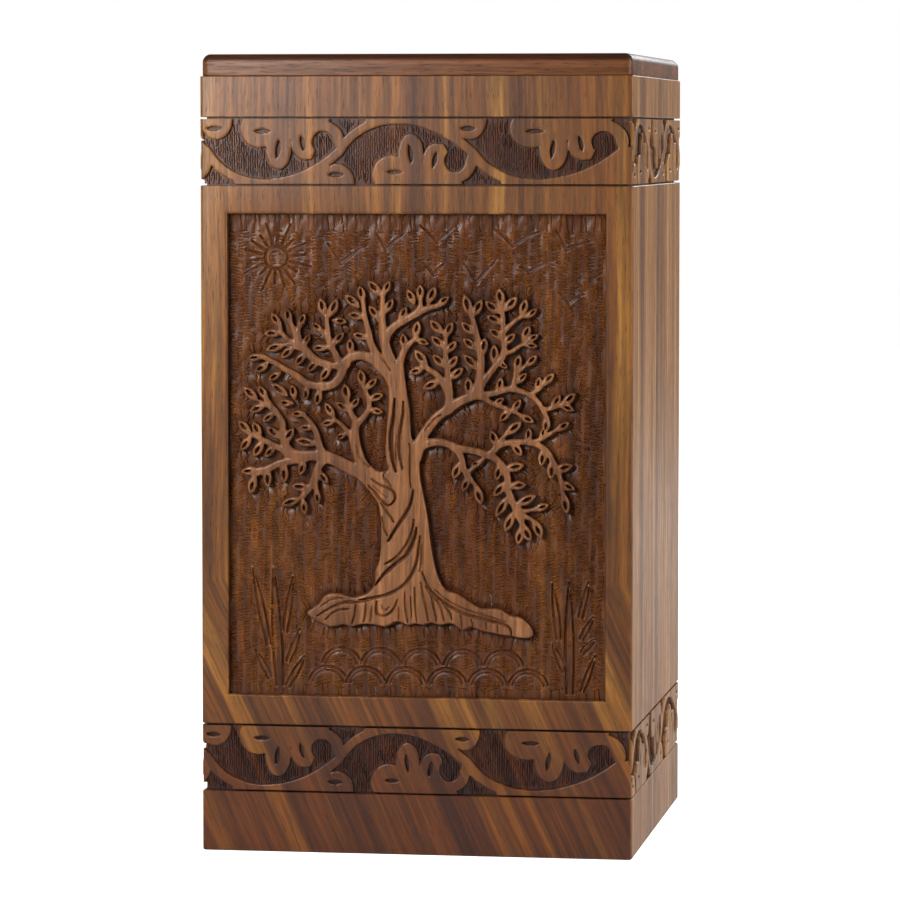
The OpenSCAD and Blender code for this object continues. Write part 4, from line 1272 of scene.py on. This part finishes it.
def drawn_lines():
    """Every drawn line as (points, width at the start, width at the end, depth, lip)."""
    lines = []
    ring = [from_sun(SUN_R, turn) for turn in np.linspace(0, 2 * math.pi, 33)]
    lines.append((ring, 1.2, 1.2, 0.7, 0.3))
    for k in range(RAYS):
        turn = math.radians(360 * k / RAYS + 6)
        start, stop = 5.4, 11 + 2.4 * math.sin(2.7 * k)
        ray = [from_sun(radius, turn) for radius in (start, (start + stop) / 2, stop)]
        lines.append((ray, 1.1, 0.7, 0.75, 0.16))
    for vertex, left, right in BIRDS:
        for tip in (left, right):
            middle = ((vertex[0] + tip[0]) / 2, (vertex[1] + tip[1]) / 2 + 0.9)
            lines.append((bow([vertex, middle, tip], np.linspace(0, 1, 6)), 1.4, 0.5, 0.55, 0.1))
    for foot, tip, width in REEDS:
        foot, tip = np.array(foot, float), np.array(tip, float)
        across = np.array([tip[1] - foot[1], foot[0] - tip[0]]) / np.hypot(*(tip - foot)) * width / 2
        for side in (1, -1):
            middle = foot * 0.45 + tip * 0.55 + across * side * 1.6
            edge = bow([foot + across * side * 0.8, middle, tip], np.linspace(0, 1, 7))
            lines.append((edge, 1.0, 0.7, 0.6, 0.3))
    for x, base in SCALLOPS:
        for radius, depth in ((SCALLOP_HALF, 0.7), (SCALLOP_HALF - 1.5, 0.5)):
            arc = [(x + radius * math.cos(a), base - SCALLOP_HALF + 0.95 * radius * math.sin(a) + 7.4)
                   for a in np.radians(np.linspace(12, 168, 15))]
            arc = [point for point in arc if point[1] > 0.3]
            lines.append((arc, 0.9, 0.9, depth, 0.12))
    return lines


LINES = drawn_lines()
print("drawn lines", len(LINES))

# %% The ground's height
COARSE = 0.9
FINE = 3                 # a fine cell is a third of a coarse one
nx, nz = round(2 * PANEL_HALF / COARSE), round(PANEL_H / COARSE)
ground_x = np.linspace(-PANEL_HALF, PANEL_HALF, nx * FINE + 1)
ground_z = np.linspace(0, PANEL_H, nz * FINE + 1)


def waves(x, z):
    """Slow unevenness left by the gouge, in millimetres."""
    slow = np.sin(x * 0.41 + 1.3 * np.sin(z * 0.13)) * np.sin(z * 0.23 + 0.9 * np.sin(x * 0.19))
    quick = np.sin(x * 1.35 + 2 * np.sin(z * 0.31)) * np.cos(z * 0.5 + np.sin(x * 0.37))
    return 0.16 * slow + 0.12 * quick


tree_gap, _ = tree_field(ground_x, ground_z)
ground_h = waves(ground_x[:, None], ground_z[None, :]) - 0.55 * np.exp(-(np.maximum(tree_gap, 0) / 1.4) ** 2)
line_gap = np.full(ground_h.shape, 9.0)
for line, wide, thin, depth, lip in LINES:
    line = np.asarray(line, float)
    half = np.linspace(wide, thin, len(line)) / 2
    part = near(ground_x, ground_z, line, 3)
    gap, radius = along(ground_x[part[0], None], ground_z[None, part[1]], line, half)
    share = gap / radius
    here = lip * np.exp(-((share - 1.75) / 0.5) ** 2) - depth * np.maximum(1 - share, 0) ** 0.8
    blend = np.clip(2.6 - share, 0, 1)
    ground_h[part] = np.where(share < 1, np.minimum(ground_h[part], here), ground_h[part] + here * blend)
    line_gap[part] = np.minimum(line_gap[part], gap - radius)
print("ground from", ground_h.min().round(2), "to", ground_h.max().round(2))


# %% A lattice with fine cells where lines are drawn
def graded_sheet(fine_cells):
    """Faces on the fine lattice: nine quads in a fine cell, one face in a coarse one."""
    columns = nz * FINE + 1
    faces = []
    for i in range(nx):
        for k in range(nz):
            u, v = i * FINE, k * FINE
            if fine_cells[i, k]:
                for p in range(FINE):
                    for q in range(FINE):
                        a = (u + p) * columns + v + q
                        faces.append((a, a + columns, a + columns + 1, a + 1))
                continue
            below = k > 0 and fine_cells[i, k - 1]
            above = k < nz - 1 and fine_cells[i, k + 1]
            left = i > 0 and fine_cells[i - 1, k]
            right = i < nx - 1 and fine_cells[i + 1, k]
            ring = [(u + p, v) for p in range(0, FINE, 1 if below else FINE)]
            ring += [(u + FINE, v + q) for q in range(0, FINE, 1 if right else FINE)]
            ring += [(u + FINE - p, v + FINE) for p in range(0, FINE, 1 if above else FINE)]
            ring += [(u, v + FINE - q) for q in range(0, FINE, 1 if left else FINE)]
            faces.append(tuple(a * columns + b for a, b in ring))
    return faces


def carve_ground():
    cell_gap = line_gap[:-1, :-1].reshape(nx, FINE, nz, FINE).min((1, 3))
    fine_cells = (cell_gap < 1.0)
    faces = graded_sheet(fine_cells)
    used = np.unique([i for face in faces for i in face])
    new = np.full(ground_h.size, -1)
    new[used] = np.arange(len(used))
    faces = [tuple(new[list(face)].tolist()) for face in faces]
    i, k = used // (nz * FINE + 1), used % (nz * FINE + 1)
    sheet = np.stack([ground_x[i], PANEL_DEPTH - HALF_W - ground_h[i, k], ground_z[k] + PANEL_Z], 1)
    edges = {}
    for face in faces:
        for a, b in zip(face, face[1:] + face[:1]):
            edges[a, b] = True
    border = [(a, b) for a, b in edges if (b, a) not in edges]
    rim = sorted({a for edge in border for a in edge})
    foot = {a: len(sheet) + n for n, a in enumerate(rim)}
    low = sheet[rim].copy()
    low[:, 1] = PANEL_BED - 0.02 - HALF_W
    middle = len(sheet) + len(rim)
    centre = [[0, PANEL_BED - 0.02 - HALF_W, PANEL_Z + PANEL_H / 2]]
    for a, b in border:
        faces.append((b, a, foot[a], foot[b]))
        faces.append((foot[b], foot[a], middle))
    points = np.concatenate([sheet, low, centre])
    return make_piece("panel_ground", points, faces, GROUND_WOOD, "front_board", "rosewood_front", crease=60)


carve_ground()

# %% [markdown]
# ## Gouge marks
#
# The carver roughens every ground with short pushes of a small gouge.  Each push leaves a
# little ridge, and there are thousands, so the ridge has only six sides and the same tree
# of nodes sets them all.  They lie in upright columns, and turn square to the tree where
# they come near it.


# %% One ridge
def ridge_mesh():
    """A roof on a long hexagon, one millimetre long, wide and high."""
    mesh = bpy.data.meshes.new("ridge_pattern")
    points = [(0.5, 0, 0), (0.35, 0.5, 0), (-0.35, 0.5, 0), (-0.5, 0, 0), (-0.35, -0.5, 0), (0.35, -0.5, 0),
              (0.35, 0, 1), (-0.35, 0, 1)]
    faces = [(0, 1, 6), (1, 2, 7, 6), (2, 3, 7), (3, 4, 7), (4, 5, 6, 7), (5, 0, 6), (5, 4, 3, 2, 1, 0)]
    mesh.from_pydata([(x * MM, y * MM, z * MM) for x, y, z in points], [], faces)
    return bpy.data.objects.new("ridge_pattern", mesh)


RIDGE = ridge_mesh()

# %% Marks on the panel
COLUMN = 2.5             # spacing of the columns of marks
ROW = 1.05               # spacing of the marks in a column
MARK = (2.6, 0.8, 0.6)   # length, width and height of a mark
TREE_CLEAR = 1.2         # room left beside the tree
LINE_CLEAR = 0.5         # and beside a drawn line
rng = np.random.default_rng(7)


def sampled(field, x, z):
    """A ground field read at some points."""
    i = np.clip(np.searchsorted(ground_x, x), 0, len(ground_x) - 1)
    k = np.clip(np.searchsorted(ground_z, z), 0, len(ground_z) - 1)
    return field[i, k]


def panel_marks():
    across = np.arange(-PANEL_HALF + 1.6, PANEL_HALF - 1, COLUMN)
    up = np.arange(0.9, PANEL_H - 0.8, ROW)
    x, z = (v.ravel() for v in np.meshgrid(across, up, indexing="ij"))
    x = x + 0.5 * np.sin(z * 0.21 + x) + rng.uniform(-0.25, 0.25, len(x))
    z = z + 0.35 * np.sin(x * 0.8) + rng.uniform(-0.2, 0.2, len(z))
    x, z = np.clip(x, -PANEL_HALF + 1.2, PANEL_HALF - 1.2), np.clip(z, 0.7, PANEL_H - 0.7)
    keep = (sampled(tree_gap, x, z) > TREE_CLEAR) & (sampled(line_gap, x, z) > LINE_CLEAR)
    keep &= rng.uniform(0, 1, len(x)) < 0.95
    x, z = x[keep], z[keep]
    slope_x, slope_z = np.gradient(tree_gap, ground_x, ground_z)
    toward = np.arctan2(sampled(slope_z, x, z), sampled(slope_x, x, z))
    close = np.clip((5.5 - sampled(tree_gap, x, z)) / 2.5, 0, 1)
    angle = 0.18 * np.sin(x * 0.31 + z * 0.12)
    angle = np.where(close > 0.5, np.arctan(np.tan(toward)), angle)
    border = (z < 3) | (z > PANEL_H - 6)
    angle = np.where(border, math.pi / 2, angle)
    y = PANEL_DEPTH - HALF_W - sampled(ground_h, x, z) + 0.06
    strong = 0.75 + 0.35 * np.sin(x * 0.23 + 2) * np.sin(z * 0.11 + 1) + rng.uniform(-0.15, 0.15, len(x))
    sizes = np.array(MARK) * np.stack([0.8 + 0.2 * strong, np.ones_like(x), 0.55 + 0.45 * strong], 1)
    return np.stack([x, y, z + PANEL_Z], 1), angle, sizes


places, angles, sizes = panel_marks()
set_pattern("panel_marks", places, aim_on_wall(angles, FRONT), sizes, RIDGE, GROUND_WOOD,
            "front_board", turn_spread=0.2, size_spread=0.2, seed=11)

# %% Marks on the bands
BAND_MARK = (2.2, 0.55, 0.34)


def band_marks(flip):
    """Upright ridges on the ground of both bands of one wall, in the front's place."""
    found = []
    for band, run in ((LOW_BAND, LOW_RUN), (HIGH_BAND, HIGH_RUN)):
        across = np.arange(-HALF_W + 2.4, HALF_W - 2, 0.85)
        up = np.arange(1.4, BAND_H - 1, 1.7)
        x, z = (v.ravel() for v in np.meshgrid(across, up, indexing="ij"))
        z = z + 0.85 * (np.round((x + HALF_W) / 0.85) % 2) + rng.uniform(-0.3, 0.3, len(z))
        x = x + rng.uniform(-0.15, 0.15, len(x))
        gap = scroll(x, (z - BAND_H / 2) * WAVE_H / BAND_H, run, flip)
        keep = (gap > 0.8) & (z > 1.2) & (z < BAND_H - 1.2)
        found.append(np.stack([x[keep], np.full(keep.sum(), BAND_DEPTH - HALF_W + 0.05), z[keep] + band], 1))
    return np.concatenate(found)


for wall_name, wall, flip, finish, slot in (("front", FRONT, 0, FRONT_WOOD, "rosewood_front"),
                                            ("left", LEFT, 1, WALL_WOOD, "rosewood_walls"),
                                            ("right", RIGHT, 1, WALL_WOOD, "rosewood_walls")):
    spots = band_marks(flip)
    upright = np.full(len(spots), math.pi / 2) + rng.uniform(-0.15, 0.15, len(spots))
    sizes = np.tile(BAND_MARK, (len(spots), 1))
    set_pattern(wall_name + "_band_marks", turned(spots, wall), aim_on_wall(upright, wall), sizes, RIDGE,
                finish, wall_name + "_board", turn_spread=0.12, size_spread=0.2, seed=21 + wall)
